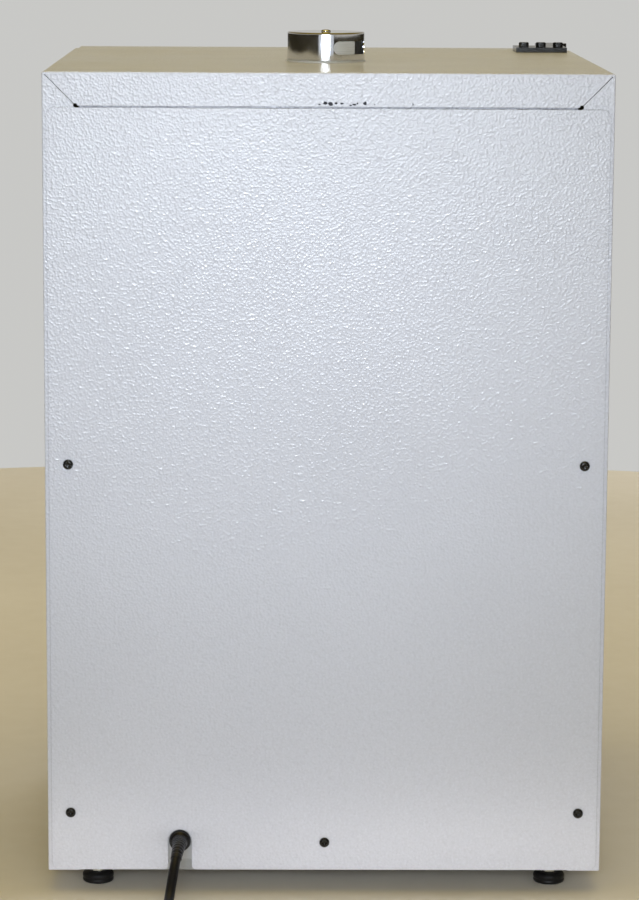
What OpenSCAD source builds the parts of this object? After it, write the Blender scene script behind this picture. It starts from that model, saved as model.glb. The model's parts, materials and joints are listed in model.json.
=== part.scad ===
// Laboratory incubator: a folded sheet-steel cabinet with an insulated door, an inner glass door,
// two sliding wire shelves, a turning exhaust vent and a mains lead.
// X runs across the front, Y from front to back, Z up; the feet stand on Z = 0.

/* [Cabinet] */
// Width of the cabinet
cab_w = 457; // [440:1:480]
// Height of the cabinet above its feet
cab_h = 658; // [640:1:700]
// Depth of the cabinet without its door
cab_d = 408; // [400:1:430]
// Height of the levelling feet at their lowest setting
foot_h = 18; // [16:1:24]
// Thickness of the folded steel sheet
sheet_t = 1.2; // [1:0.1:1.5]
// Width of the flange folded down from the top at the back
flange_h = 27; // [24:0.5:30]

/* [Chamber] */
// Inside width of the chamber
chamber_w = 336; // [330:1:340]
// Inside height of the chamber
chamber_h = 460; // [440:1:464]
// Inside depth of the chamber
chamber_d = 356; // [340:1:360]
// Height of the lower shelf above the chamber floor
lower_shelf_h = 164; // [120:4:200]
// Height of the upper shelf above the chamber floor
upper_shelf_h = 314; // [280:4:340]

/* [Door] */
// Thickness of the insulated door
door_t = 76; // [70:1:80]
// Gap between the cabinet and the door, filled by the gasket
door_gap = 8; // [8:0.5:10]
// Height of the control panel under the door
control_h = 108; // [100:1:112]
// Distance that the pull handle stands out
handle_out = 41; // [36:1:50]

/* [Vent] */
// Outside diameter of the chrome vent cap
vent_d = 66.5; // [60:0.5:72]
// Height of the vent cap above the top
vent_h = 25; // [22:0.5:30]
// Distance from the rear panel to the vent's centre
vent_back = 187; // [160:1:220]

/* [Mains lead] */
// Diameter of the lead
cord_d = 8.2; // [7:0.1:9]
// Sideways place of the lead's bushing
cord_x = 119.5; // [100:0.5:130]

/* [Hidden] */
$fn = 48;
eps = 0.01;
paint = [0.80, 0.80, 0.85];
steel = [0.72, 0.73, 0.74];
zinc = [0.60, 0.62, 0.64];
chrome = [0.82, 0.82, 0.84];
black = [0.05, 0.05, 0.055];
rubber = [0.12, 0.12, 0.12];
cream = [0.90, 0.88, 0.80];

head_h = 2.2;                                   // a rear screw's head
depth = head_h + cab_d + door_gap + door_t + handle_out;
rear_y = depth / 2 - head_h;                    // the rear panel's outer face
top_z = foot_h + cab_h;
side_x = cab_w / 2;
door_back = cab_d + door_gap;                   // depths are measured from the rear panel's face
door_front = door_back + door_t;

floor_z = foot_h + control_h + 40;              // the chamber's floor
ceiling_z = floor_z + chamber_h;
wall_x = chamber_w / 2;
back_d = cab_d - chamber_d;                     // the chamber's rear wall
liner_t = 0.9;
frame_x = wall_x + 29.6;                        // the face frame's outer edge
frame_z0 = floor_z - 12;
frame_z1 = ceiling_z + 19.6;
frame_front = cab_d + 1.5;
frame_screw_x = frame_x - 6;
frame_screw_z = [floor_z + 20, (floor_z + ceiling_z) / 2, ceiling_z - 20];

panel_x = side_x - 3.5;
panel_top = top_z - 28.7;
panel_bottom = foot_h + 0.8;
slot_x = side_x - 26.7;                         // half the slot under the top flange
screw_x = 209.6;                                // the rear panel's side screws
screw_z = [foot_h + 49.5, foot_h + 341.2];
mid_screw_z = foot_h + 24.3;
cord_z = foot_h + 25.3;
bushing_r = 9;
notch_r = 9.7;
cord_hole_r = 8;
pan_d = 2 * sheet_t + 0.1;                      // the base pan's rear flange

foot_x = 189;
foot_d = [31, cab_d - 36];
stud_r = 4;
fit = 0.06;                                     // radial clearance of every running fit

hinge_x = -(side_x - 14.5);
hinge_d = door_back + door_t / 2;
hinge_head_r = 14.5;
hinge_t = 4.5;
hinge_pin_r = 4;
plate_w = 46;
plate_x = hinge_x + 16;                         // the top hinge plate's centre
hinge_screws = [-15.5, 0, 15.5];
door_bottom = foot_h + control_h + 4;
door_top = top_z - 2;
recess_x = 197.8;                               // the hollow in the door's inner face
recess_z = [door_bottom + 23.5, door_top - 26.5];
recess_d = door_back + 26;
handle_x = 188;
handle_z = 400;
handle_r = 7.5;
handle_grip = 150;

glass_t = 5;
glass_d = frame_front + 3.6;
glass_x = wall_x + 7.5;
glass_z = [floor_z - 9, ceiling_z + 9];
glass_axis_x = -(glass_x + 3.5);
glass_axis_d = glass_d + glass_t / 2;
glass_screw_x = glass_axis_x - 8;               // the screws of the glass door's hinge brackets
glass_hinge_z = [floor_z + 60, ceiling_z - 60];
glass_knob_z = 400;
glass_knob_x = wall_x - 8;

shelf_d = [60, cab_d - 30];
shelf_x = wall_x - 11;
shelf_z = [floor_z + lower_shelf_h, floor_z + upper_shelf_h];
shelf_rod_r = 2.5;
shelf_wire_r = 1.3;
runner_z = [for (k = [0:7]) floor_z + 44 + 30 * k + (k > 3 ? 30 : 0)];

bulb_x = wall_x - 6;                            // the thermostat's bulb, in a rear corner
bulb_d = back_d + 6;
heater_z = floor_z + 11;
heater_r = 3.2;
heater_step = 50;
heater_half = 125;
diffuser_z = floor_z + 21;

tube_r = 16;                                    // the vent tube's outside
tube_t = 1.5;
cap_r = vent_d / 2;
cap_t = 1.05;
sleeve_r = 31.5;
sleeve_t = 1.5;
vent_slot_z = top_z + 12.3;
vent_slot_h = 11.4;

control_z = foot_h + control_h / 2;
knob_x = 40;
dial_r = 33;
switch_x = -130;
lamp_x = -78;
rocker_tilt = 11;

// The lead's route from the bushing, as [sideways, behind the rear face, up]
cord_route = [
    [119.5, 9, 43.3], [119.9, 15, 43], [120.5, 21.5, 41.7], [121.4, 28.5, 38.6], [122.5, 34.8, 33.6],
    [123.8, 39.8, 27.4], [125.1, 44.6, 20], [126.1, 49.6, 13.8], [127.1, 56.4, 8.7], [128.1, 64.5, 5.4],
    [129, 74, 4.2], [130.2, 90, 4.2], [131, 108, 4.2], [131.3, 128, 4.2], [131.3, 148, 4.2]];
// The lead's last stretch, from the coil to the plug
tail_route = [
    [98, 225, 8], [91, 229.5, 7.2], [83, 233.5, 7], [74, 236.8, 7.6], [65, 239.2, 9.2],
    [56, 240.7, 10.8], [47, 241.6, 12], [38, 242, 12.6], [30, 242, 12.8]];
coil_x = 78;
coil_back = 168;
coil_r = 6 * cord_d;                            // to the middle of its turns
plug_at = [30, 242, 12.8];

// ---- Shared shapes ----

// A box given by its low x, its depth from the rear face, its low z, and its size
module slab(x, d, z, w, l, h) {
    translate([x, rear_y - d - l, z]) cube([w, l, h]);
}

// Stretches an outline drawn in x and z forwards from depth d
module plate(d, t) {
    translate([0, rear_y - d, 0]) rotate([90, 0, 0]) linear_extrude(t) children();
}

// A round bar running forwards from depth d
module bar(x, d, z, r, l) {
    translate([x, rear_y - d, z]) rotate([90, 0, 0]) cylinder(r = r, h = l);
}

// A turned piece whose axis runs backwards, out of the rear face, from depth d
module turned_back(x, d, z) {
    translate([x, rear_y - d, z]) rotate([-90, 0, 0]) children();
}

// A turned piece whose axis runs forwards from depth d
module turned_front(x, d, z) {
    translate([x, rear_y - d, z]) rotate([90, 0, 0]) children();
}

// A rectangle between two corners with true round corners
module round_rect(x0, z0, x1, z1, r) {
    translate([x0 + r, z0]) square([x1 - x0 - 2 * r, z1 - z0]);
    translate([x0, z0 + r]) square([x1 - x0, z1 - z0 - 2 * r]);
    for (x = [x0 + r, x1 - r], z = [z0 + r, z1 - r]) translate([x, z]) circle(r);
}

module ring(x0, z0, x1, z1, r, w) {
    difference() {
        round_rect(x0, z0, x1, z1, r);
        round_rect(x0 + w, z0 + w, x1 - w, z1 - w, max(r - w, 0.5));
    }
}

// A round bar between any two points given as [x, depth, z]
module strut(a, b, r) {
    v = [b[0] - a[0], a[1] - b[1], b[2] - a[2]];
    l = norm(v);
    translate([a[0], rear_y - a[1], a[2]])
        rotate([0, acos(v[2] / l), atan2(v[1], v[0])]) cylinder(r = r, h = l);
}

// A bent round bar along several points, with ball corners
module bent_bar(points, r) {
    for (i = [0:len(points) - 2]) strut(points[i], points[i + 1], r);
    for (i = [1:len(points) - 2])
        translate([points[i][0], rear_y - points[i][1], points[i][2]]) sphere(r = r);
}

// A pan-head screw along +Z with its head's underside at 0 and a cross recess
module pan_screw(head_r, h, shank_r, l) {
    difference() {
        union() {
            rotate_extrude() polygon([
                [0, 0], [head_r, 0], [head_r, h * 0.35], [head_r * 0.86, h * 0.75],
                [head_r * 0.55, h], [0, h]]);
            translate([0, 0, -l]) cylinder(r = shank_r, h = l + eps);
        }
        for (a = [0, 90]) rotate(a)
            translate([-head_r * 0.55, -head_r * 0.11, h * 0.45]) cube([head_r * 1.1, head_r * 0.22, h]);
    }
}

// A hexagon-head screw along +Z with its head's underside at 0
module hex_screw(across, h, shank_r, l) {
    intersection() {
        cylinder(r = across / sqrt(3), h = h, $fn = 6);
        rotate_extrude() polygon([
            [0, 0], [across * 0.6, 0], [across * 0.6, h * 0.8], [across * 0.47, h], [0, h]]);
    }
    translate([0, 0, -l]) cylinder(r = shank_r, h = l + eps);
}

// A tube swept along points, closed at both ends; every point is [x, y, z] in the model's frame
function unit(v) = v / norm(v);
function heading(p, i) = unit(p[min(i + 1, len(p) - 1)] - p[max(i - 1, 0)]);
function side(t) = unit(cross(t, abs(t[2]) > 0.9 ? [1, 0, 0] : [0, 0, 1]));
module sweep(p, r, sides = 8) {
    rings = [for (i = [0:len(p) - 1]) let (t = heading(p, i), u = side(t), v = cross(u, t))
        for (k = [0:sides - 1]) let (a = 360 * (k + 0.5) / sides) p[i] + r * (cos(a) * u + sin(a) * v)];
    last = (len(p) - 1) * sides;
    walls = [for (i = [0:len(p) - 2], k = [0:sides - 1]) let (n = (k + 1) % sides)
        [i * sides + k, (i + 1) * sides + k, (i + 1) * sides + n, i * sides + n]];
    ends = [[for (k = [0:sides - 1]) k], [for (k = [sides - 1:-1:0]) last + k]];
    polyhedron(rings, concat(ends, walls), convexity = 6);
}
function behind(route) = [for (p = route) [p[0], rear_y + p[1], p[2]]];

// A thin wire along [x, depth, z] points, with every corner taken off by three short bends
function eased(a, b, c, k) = let (u = b + k * unit(a - b), w = b + k * unit(c - b))
    [u, (u + 2 * b + w) / 4, w];
function softened(p, k) = [for (i = [0:len(p) - 1]) for (q = i == 0 || i == len(p) - 1 ? [p[i]]
    : eased(p[i - 1], p[i], p[i + 1], k)) [q[0], rear_y - q[1], q[2]]];
module wire(points, r) {
    sweep(softened(points, 3 * r), r);
}

// ---- Cabinet ----

// The cabinet's outline, drawn smaller by inset on its top and sides, and open below
module cabinet_outline(inset) {
    r = 2.5 - inset;
    x = side_x - inset;
    z0 = foot_h - (inset > 0 ? 1 : 0);
    translate([-x, z0]) square([2 * x, top_z - inset - r - z0]);
    translate([-x + r, top_z - inset - r - 1]) square([2 * (x - r), r + 1]);
    for (s = [-1, 1]) translate([s * (x - r), top_z - inset - r]) circle(r);
}

module mitre_cuts() {
    for (s = [-1, 1]) {
        translate([s * slot_x, rear_y - 2 * sheet_t - 0.5, top_z - 26.7])
            rotate([0, s > 0 ? -45 : -135, 0]) translate([0, 0, -0.25]) cube([34.5, 2, 0.5]);
        bar(s * slot_x, 0, top_z - 26.9, 1.7, 3);
    }
}

module cabinet_shell() color(paint) difference() {
    union() {
        plate(sheet_t, cab_d - sheet_t) difference() {
            cabinet_outline(0);
            cabinet_outline(sheet_t);
        }
        plate(sheet_t, sheet_t) difference() {
            cabinet_outline(0);
            translate([-slot_x, foot_h - 1]) square([2 * slot_x, cab_h + 1 - flange_h]);
        }
        plate(cab_d - sheet_t, sheet_t) difference() {
            cabinet_outline(0);
            translate([-frame_x - 0.4, foot_h - 1]) square([2 * frame_x + 0.8, frame_z1 + 0.4 - foot_h + 1]);
        }
    }
    mitre_cuts();
    for (s = [-1, 1], z = screw_z) bar(s * screw_x, 0, z, 2.1, 4);
    translate([0, rear_y - vent_back, top_z - 3]) cylinder(r = tube_r + 0.3, h = 5);
    for (k = hinge_screws) translate([plate_x + k, rear_y - cab_d + plate_w - 10, top_z - 3])
        cylinder(r = 2.6, h = 5);
    for (z = [foot_h + 82, foot_h + 98]) bar(hinge_x, cab_d - 3, z, 2.6, 5);
}

module base_pan() color(zinc) difference() {
    union() {
        slab(-side_x + sheet_t + 0.2, pan_d, foot_h, cab_w - 2 * sheet_t - 0.4, cab_d - pan_d - 1.4, sheet_t);
        slab(-side_x + sheet_t + 0.2, pan_d, foot_h, cab_w - 2 * sheet_t - 0.4, sheet_t, 46);
        slab(-frame_x, cab_d - sheet_t - 1.4, foot_h, 2 * frame_x, sheet_t, 14);
        for (s = [-1, 1])
            slab(s * (side_x - 1.5 * sheet_t - 0.2) - sheet_t / 2, pan_d, foot_h,
                 sheet_t, cab_d - pan_d - 1.4, 14);
    }
    bar(cord_x, 0, cord_z, cord_hole_r, 6);
    bar(0, 0, mid_screw_z, 2.1, 6);
    for (s = [-1, 1]) bar(s * screw_x, 0, screw_z[0], 2.6, 6);
    for (s = [-1, 1]) bar(s * (frame_x - 9), cab_d - 6, foot_h + 9, 2, 6);
    for (x = [-foot_x, foot_x], d = foot_d) translate([x, rear_y - d, foot_h - 1]) cylinder(r = 5, h = 4);
}

module foot_nuts() color(zinc) for (x = [-foot_x, foot_x], d = foot_d)
    translate([x, rear_y - d, foot_h + sheet_t]) difference() {
        cylinder(r = 8, h = 9, $fn = 6);
        translate([0, 0, -1]) cylinder(r = stud_r + fit, h = 11);
    }

module levelling_foot(x, d) color(rubber) translate([x, rear_y - d, 0]) {
    rotate_extrude() polygon([
        [0, 0], [12, 0], [13, 1], [13, 9], [12, 10.4], [9, 11.6], [6.4, 12.2], [6.4, 14.6], [0, 14.6]]);
    cylinder(r = stud_r, h = foot_h + 20);
}
module foot_rear_left() levelling_foot(-foot_x, foot_d[0]);
module foot_rear_right() levelling_foot(foot_x, foot_d[0]);
module foot_front_left() levelling_foot(-foot_x, foot_d[1]);
module foot_front_right() levelling_foot(foot_x, foot_d[1]);

module cord_notch() {
    translate([cord_x, cord_z]) circle(notch_r);
    translate([cord_x - notch_r, panel_bottom - 1]) square([2 * notch_r, cord_z - panel_bottom + 1]);
    for (s = [-1, 1]) translate([cord_x + s * (notch_r + 4), panel_bottom]) difference() {
        translate([s > 0 ? -4.1 : 0, -1]) square([4.1, 5]);
        translate([0, 4]) circle(4);
    }
}

// The panel hangs by a tongue behind the top flange and covers the side flanges
module rear_panel() color(paint) difference() {
    union() {
        plate(0, sheet_t) difference() {
            round_rect(-panel_x, panel_bottom, panel_x, panel_top, 6.5);
            cord_notch();
        }
        slab(-slot_x + 2.8, 0, panel_top - sheet_t, 2 * slot_x - 5.6, 3 * sheet_t + 0.3, sheet_t);
        slab(-slot_x + 2.8, 2 * sheet_t + 0.3, panel_top - sheet_t, 2 * slot_x - 5.6, sheet_t, 14);
    }
    for (s = [-1, 1], z = screw_z) bar(s * screw_x, -1, z, 2.3, 4);
    bar(0, -1, mid_screw_z, 2.3, 4);
}

module rear_panel_screws() color(black) {
    for (s = [-1, 1], z = screw_z) turned_back(s * screw_x, 0, z) pan_screw(4.1, head_h, 2, 9);
    turned_back(0, 0, mid_screw_z) pan_screw(4.1, head_h, 2, 9);
}

module front_rail() color(paint) {
    slab(-frame_x, cab_d - sheet_t, foot_h + control_h,
         2 * frame_x, sheet_t, frame_z0 - 0.2 - foot_h - control_h);
    slab(-frame_x, cab_d - 16, foot_h + control_h, 2 * frame_x, 16, sheet_t);
}

module face_frame() color(cream) difference() {
    plate(cab_d - sheet_t, sheet_t + 1.5) difference() {
        round_rect(-frame_x, frame_z0, frame_x, frame_z1, 3);
        chamber_outline(0);
    }
    for (s = [-1, 1], z = frame_screw_z) bar(s * frame_screw_x, cab_d - 3, z, 1.6, 6);
    for (z = glass_hinge_z, k = [-1, 1]) bar(glass_screw_x, cab_d - 3, z + k * 16, 1.5, 6);
}

module face_frame_screws() color(steel) {
    for (s = [-1, 1], z = frame_screw_z)
        turned_front(s * frame_screw_x, frame_front, z) pan_screw(2.8, 1.3, 1.5, 3.6);
    for (z = glass_hinge_z, k = [-1, 1])
        turned_front(glass_screw_x, frame_front + 1.6, z + k * 16) pan_screw(2.6, 1.2, 1.4, 5.2);
}

// ---- Chamber ----

// The chamber's cross-section, grown by w all round
module chamber_outline(w) {
    round_rect(-wall_x - w, floor_z - w, wall_x + w, ceiling_z + w, 8 + w);
}

module chamber_liner() color(steel) difference() {
    union() {
        plate(back_d - liner_t, chamber_d + liner_t - 1.4) difference() {
            chamber_outline(liner_t);
            chamber_outline(0);
        }
        plate(back_d - liner_t, liner_t) chamber_outline(liner_t);
        plate(cab_d - 2.3, liner_t) difference() {
            round_rect(-wall_x - 52, floor_z - 20, wall_x + 52, ceiling_z + 40, 4);
            chamber_outline(0);
        }
    }
    translate([0, rear_y - vent_back, ceiling_z - 1]) cylinder(r = tube_r - tube_t, h = 3);
    for (s = [-1, 1], z = frame_screw_z) bar(s * frame_screw_x, cab_d - 4, z, 1.6, 4);
    for (x = [-heater_half + 20, heater_half - 20])
        translate([x, rear_y - 80, floor_z - 2]) cylinder(r = heater_r + 0.5, h = 4);
    translate([bulb_x, rear_y - bulb_d, floor_z - 2]) cylinder(r = 2.5, h = 4);
    for (z = glass_hinge_z, k = [-1, 1]) bar(glass_screw_x, cab_d - 4, z + k * 16, 1.5, 4);
}

module insulation() color([0.93, 0.85, 0.55]) difference() {
    slab(-side_x + 2.4, 5, foot_h + control_h + 3, cab_w - 4.8, cab_d - 8,
         top_z - 7 - foot_h - control_h - 3);
    slab(-wall_x - 1.2, back_d - 1.2, floor_z - 1.2, chamber_w + 2.4, chamber_d, chamber_h + 2.4);
    slab(-frame_x - 1, cab_d - 17, foot_h, 2 * frame_x + 2, 20, control_h + 6);
    translate([0, rear_y - vent_back, ceiling_z - 1]) cylinder(r = tube_r + 1, h = 60);
    for (x = [-heater_half + 20, heater_half - 20])
        translate([x, rear_y - 80, foot_h]) cylinder(r = heater_r + 1, h = floor_z);
    translate([bulb_x, rear_y - bulb_d, foot_h]) cylinder(r = 4, h = floor_z);
    for (k = hinge_screws) translate([plate_x + k, rear_y - cab_d + plate_w - 10, top_z - 22])
        cylinder(r = 4, h = 30);
    for (s = [-1, 1]) bar(s * screw_x, 0, screw_z[1], 3.5, 12);
}

// One half-turn of the heater joining two runs
module heater_bend(x, d, turn) translate([x, rear_y - d, heater_z]) rotate([0, 0, turn])
    rotate_extrude(angle = 180) translate([heater_step / 2, 0]) circle(heater_r);

module heating_element() color([0.35, 0.33, 0.31]) {
    for (k = [0:3]) translate([-heater_half, rear_y - 130 - k * heater_step, heater_z])
        rotate([0, 90, 0]) cylinder(r = heater_r, h = 2 * heater_half);
    for (k = [0:2]) heater_bend(k % 2 == 0 ? heater_half : -heater_half,
                                130 + (k + 0.5) * heater_step, k % 2 == 0 ? -90 : 90);
    bent_bar([[-heater_half, 130, heater_z], [-heater_half - 15, 130, heater_z],
              [-heater_half - 15, 80, heater_z], [-heater_half + 20, 80, heater_z],
              [-heater_half + 20, 80, floor_z - 55]], heater_r);
    bent_bar([[-heater_half, 130 + 3 * heater_step, heater_z],
              [-heater_half - 33, 130 + 3 * heater_step, heater_z], [-heater_half - 33, 66, heater_z],
              [heater_half - 20, 66, heater_z], [heater_half - 20, 80, heater_z],
              [heater_half - 20, 80, floor_z - 55]], heater_r);
}

module heater_brackets() color(steel) for (x = [-90, 90]) difference() {
    slab(x - 1, 110, floor_z + 0.2, 2, 3 * heater_step + 40, 18);
    for (k = [0:3]) translate([x - 2, rear_y - 130 - k * heater_step, heater_z])
        rotate([0, 90, 0]) cylinder(r = heater_r + 0.1, h = 4);
}

module diffuser_plate() color(steel) difference() {
    union() {
        slab(-wall_x + 2, back_d + 3, diffuser_z, chamber_w - 4, chamber_d - 20, 1.2);
        for (d = [back_d + 3, back_d + chamber_d - 18.2])
            slab(-wall_x + 9, d, floor_z + 0.3, chamber_w - 18, 1.2, diffuser_z - floor_z);
    }
    for (i = [-5:5], j = [0:7])
        translate([i * 28, rear_y - back_d - 40 - j * 36, diffuser_z - 1]) cylinder(r = 5, h = 4);
    for (i = [-5:5]) translate([i * 28, rear_y - back_d - chamber_d - 5, floor_z + 11])
        rotate([-90, 0, 0]) cylinder(r = 5, h = chamber_d);
    translate([bulb_x, rear_y - bulb_d, diffuser_z - 1]) cylinder(r = 5, h = 4);
}

module shelf_rack(s) color(steel) {
    for (d = [back_d + 14, cab_d - 26])
        translate([s * (wall_x - 3.4), rear_y - d, diffuser_z + 1.4]) cylinder(r = 2.4, h = 380);
    for (z = runner_z) {
        slab(s > 0 ? wall_x - 16 : -wall_x + 3.4, back_d + 12, z - 2.8, 12.6, cab_d - back_d - 36, 1.2);
        slab(s * (wall_x - 4) - 0.6, back_d + 12, z - 2.8, 1.2, cab_d - back_d - 36, 9);
    }
}
module shelf_rack_left() shelf_rack(-1);
module shelf_rack_right() shelf_rack(1);

// A wire shelf: a bent rod frame, two cross rods and wires laid over them
module wire_shelf(z) color(chrome) {
    c = 12;
    y0 = rear_y - shelf_d[1];
    y1 = rear_y - shelf_d[0];
    translate([0, 0, z + shelf_rod_r]) {
        for (x = [-shelf_x + shelf_rod_r, shelf_x - shelf_rod_r])
            translate([x, y0 + c, 0]) rotate([-90, 0, 0]) cylinder(r = shelf_rod_r, h = y1 - y0 - 2 * c);
        for (y = [y0 + shelf_rod_r, (y0 + y1) / 2 - 60, (y0 + y1) / 2 + 60, y1 - shelf_rod_r])
            let (reach = shelf_x - (y == y0 + shelf_rod_r || y == y1 - shelf_rod_r ? c : shelf_rod_r))
                translate([-reach, y, 0]) rotate([0, 90, 0]) cylinder(r = shelf_rod_r, h = 2 * reach);
        for (k = [0:3]) translate([(k < 2 ? 1 : -1) * (shelf_x - c), k % 3 == 0 ? y1 - c : y0 + c, 0])
            rotate([0, 0, -90 * k]) rotate_extrude(angle = 90)
                translate([c - shelf_rod_r, 0]) circle(shelf_rod_r);
    }
    for (i = [-11:11]) translate([i * 13.6, y0 + 0.6, z + 2 * shelf_rod_r + shelf_wire_r - 0.5])
        rotate([-90, 0, 0]) cylinder(r = shelf_wire_r, h = y1 - y0 - 1.2);
}
module shelf_lower() wire_shelf(shelf_z[0]);
module shelf_upper() wire_shelf(shelf_z[1]);

// ---- Glass door ----

module glass_gasket() color([0.86, 0.86, 0.84]) plate(frame_front, 3.4)
    ring(-glass_x + 1.5, glass_z[0] + 1.5, glass_x - 1.5, glass_z[1] - 1.5, 9, 5);

module glass_hinge_brackets() color(chrome) for (z = glass_hinge_z) {
    difference() {
        slab(glass_screw_x - 5, frame_front, z - 22, 11, 1.6, 44);
        for (s = [-1, 1]) bar(glass_screw_x, frame_front - 1, z + s * 16, 1.5, 4);
    }
    for (s = [-1, 1]) {
        translate([glass_axis_x, rear_y - glass_axis_d, z + s * 15 - 5]) cylinder(r = 3.2, h = 10);
        slab(glass_axis_x - 2, frame_front, z + s * 15 - 5, 4, glass_axis_d - frame_front, 10);
    }
    translate([glass_axis_x, rear_y - glass_axis_d, z - 15]) cylinder(r = 1.8, h = 30);
}

module glass_pane() color([0.75, 0.88, 0.86, 0.35]) difference() {
    plate(glass_d, glass_t) round_rect(-glass_x, glass_z[0], glass_x, glass_z[1], 3);
    for (z = glass_hinge_z, s = [-1, 1]) bar(-glass_x + 16, glass_d - 1, z + s * 5, 2.6, glass_t + 2);
    bar(glass_knob_x, glass_d - 1, glass_knob_z, 3.2, glass_t + 2);
}

// Each leaf wraps the bracket's pin, lies on the glass and is held by two small bolts
module glass_hinge_leaves() color(chrome) for (z = glass_hinge_z) {
    difference() {
        union() {
            translate([glass_axis_x, rear_y - glass_axis_d, z - 9.6]) cylinder(r = 3.2, h = 19.2);
            slab(glass_axis_x, glass_axis_d, z - 9.6, 3.2, glass_t / 2 + 1.8, 19.2);
            slab(glass_axis_x, glass_d + glass_t + 0.1, z - 9.6, 30, 1.7, 19.2);
        }
        translate([glass_axis_x, rear_y - glass_axis_d, z - 10]) cylinder(r = 1.8 + fit, h = 20);
        for (s = [-1, 1]) bar(-glass_x + 16, glass_d, z + s * 5, 2.2, 10);
    }
    for (s = [-1, 1]) {
        turned_front(-glass_x + 16, glass_d + glass_t + 1.8, z + s * 5) pan_screw(3.4, 1.8, 2, 8.6);
        bar(-glass_x + 16, glass_d - 1.8, z + s * 5, 3.6, 1.7);
    }
}

// The knob's bolt passes through the glass and holds the catch's steel strike behind it
module glass_knob() color(chrome) {
    turned_front(glass_knob_x, glass_d + glass_t + 0.1, glass_knob_z) rotate_extrude() polygon([
        [0, 0], [6.5, 0], [6.5, 1.5], [4, 3.2], [4, 7], [7.5, 10], [9.5, 13.5], [9.2, 17], [6, 19.5],
        [0, 20]]);
    bar(glass_knob_x, glass_d - 2, glass_knob_z, 2.8, glass_t + 2.2);
    slab(glass_knob_x - 8, glass_d - 1.7, glass_knob_z - 14, 15.5, 1.6, 28);
}

module magnetic_catch() color(black) {
    slab(wall_x - 11, cab_d - 14, glass_knob_z - 12, 10.6, glass_d - 2 - cab_d + 14, 24);
    for (s = [-1, 1]) slab(wall_x - 9.5, cab_d - 18, glass_knob_z + s * 16 - 4, 9, 6, 8);
    slab(wall_x - 11, cab_d - 18, glass_knob_z - 20, 10.6, 4, 40);
}

// ---- Hinges ----

module top_hinge_plate() color(black) difference() {
    union() {
        translate([0, 0, top_z]) linear_extrude(hinge_t) {
            translate([plate_x - plate_w / 2, rear_y - cab_d]) square([plate_w, plate_w]);
            translate([hinge_x - 7, rear_y - hinge_d]) square([22, hinge_d - cab_d + 1]);
            translate([hinge_x, rear_y - hinge_d]) circle(hinge_head_r);
        }
        translate([hinge_x, rear_y - hinge_d, top_z - 22]) cylinder(r = hinge_pin_r, h = 23);
    }
    for (k = hinge_screws) translate([plate_x + k, rear_y - cab_d + plate_w - 10, top_z - 1])
        cylinder(r = 2.6, h = 9);
}

module top_hinge_screws() color(black) for (k = hinge_screws)
    translate([plate_x + k, rear_y - cab_d + plate_w - 10, top_z + hinge_t]) hex_screw(8, 4.4, 2.5, 14);

module bottom_hinge_bracket() color(black) difference() {
    union() {
        slab(hinge_x - hinge_head_r, cab_d, foot_h + 74, 29, 3, control_h - 71.5);
        translate([0, 0, foot_h + control_h - 3]) linear_extrude(hinge_t) {
            translate([hinge_x - hinge_head_r, rear_y - hinge_d]) square([29, hinge_d - cab_d]);
            translate([hinge_x, rear_y - hinge_d]) circle(hinge_head_r);
        }
        translate([hinge_x, rear_y - hinge_d, foot_h + control_h]) cylinder(r = hinge_pin_r, h = 23);
    }
    for (z = [foot_h + 82, foot_h + 98]) bar(hinge_x, cab_d - 1, z, 2.6, 6);
}

module bottom_hinge_screws() color(black) for (z = [foot_h + 82, foot_h + 98])
    turned_front(hinge_x, cab_d + 3, z) hex_screw(8, 4, 2.5, 12);

// ---- Door ----

module door_skin() color(paint) difference() {
    union() {
        plate(door_back, door_t) ring(-side_x, door_bottom, side_x, door_top, 2.5, sheet_t);
        plate(door_front - sheet_t, sheet_t) round_rect(-side_x, door_bottom, side_x, door_top, 2.5);
        plate(door_back, sheet_t) ring(-side_x, door_bottom, side_x, door_top, 2.5, 12);
    }
    translate([hinge_x, rear_y - hinge_d, door_bottom - 1]) cylinder(r = 7.1, h = door_top - door_bottom + 2);
    for (s = [-1, 1]) bar(handle_x, door_front - 4, handle_z + s * handle_grip / 2, 2.6, 6);
}

module door_liner() color(steel) {
    plate(door_back, sheet_t) difference() {
        round_rect(-side_x + 12.2, door_bottom + 12.2, side_x - 12.2, door_top - 12.2, 2);
        round_rect(-recess_x, recess_z[0], recess_x, recess_z[1], 8);
    }
    plate(door_back, recess_d - door_back) difference() {
        round_rect(-recess_x - 1, recess_z[0] - 1, recess_x + 1, recess_z[1] + 1, 9);
        round_rect(-recess_x, recess_z[0], recess_x, recess_z[1], 8);
    }
    plate(recess_d, 1) round_rect(-recess_x - 1, recess_z[0] - 1, recess_x + 1, recess_z[1] + 1, 9);
}

module door_insulation() color([0.93, 0.85, 0.55]) difference() {
    slab(-side_x + 1.6, recess_d + 1.4, door_bottom + 1.6,
         cab_w - 3.2, door_front - recess_d - 3, door_top - door_bottom - 3.2);
    for (z = [door_bottom, door_top - 26]) translate([hinge_x, rear_y - hinge_d, z]) cylinder(r = 8, h = 26);
    for (s = [-1, 1]) bar(handle_x, door_front - 14, handle_z + s * handle_grip / 2, 6, 20);
}

module door_gasket() color([0.55, 0.55, 0.55]) {
    plate(door_back - 2, 2) ring(-213, door_bottom + 8, 213, door_top - 11, 4, 11);
    plate(door_back - 5.8, 3.9) ring(-210, door_bottom + 11, 210, door_top - 14, 3, 6);
    plate(cab_d + 0.25, 2) ring(-212, door_bottom + 9, 212, door_top - 12, 4, 8);
}

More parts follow.
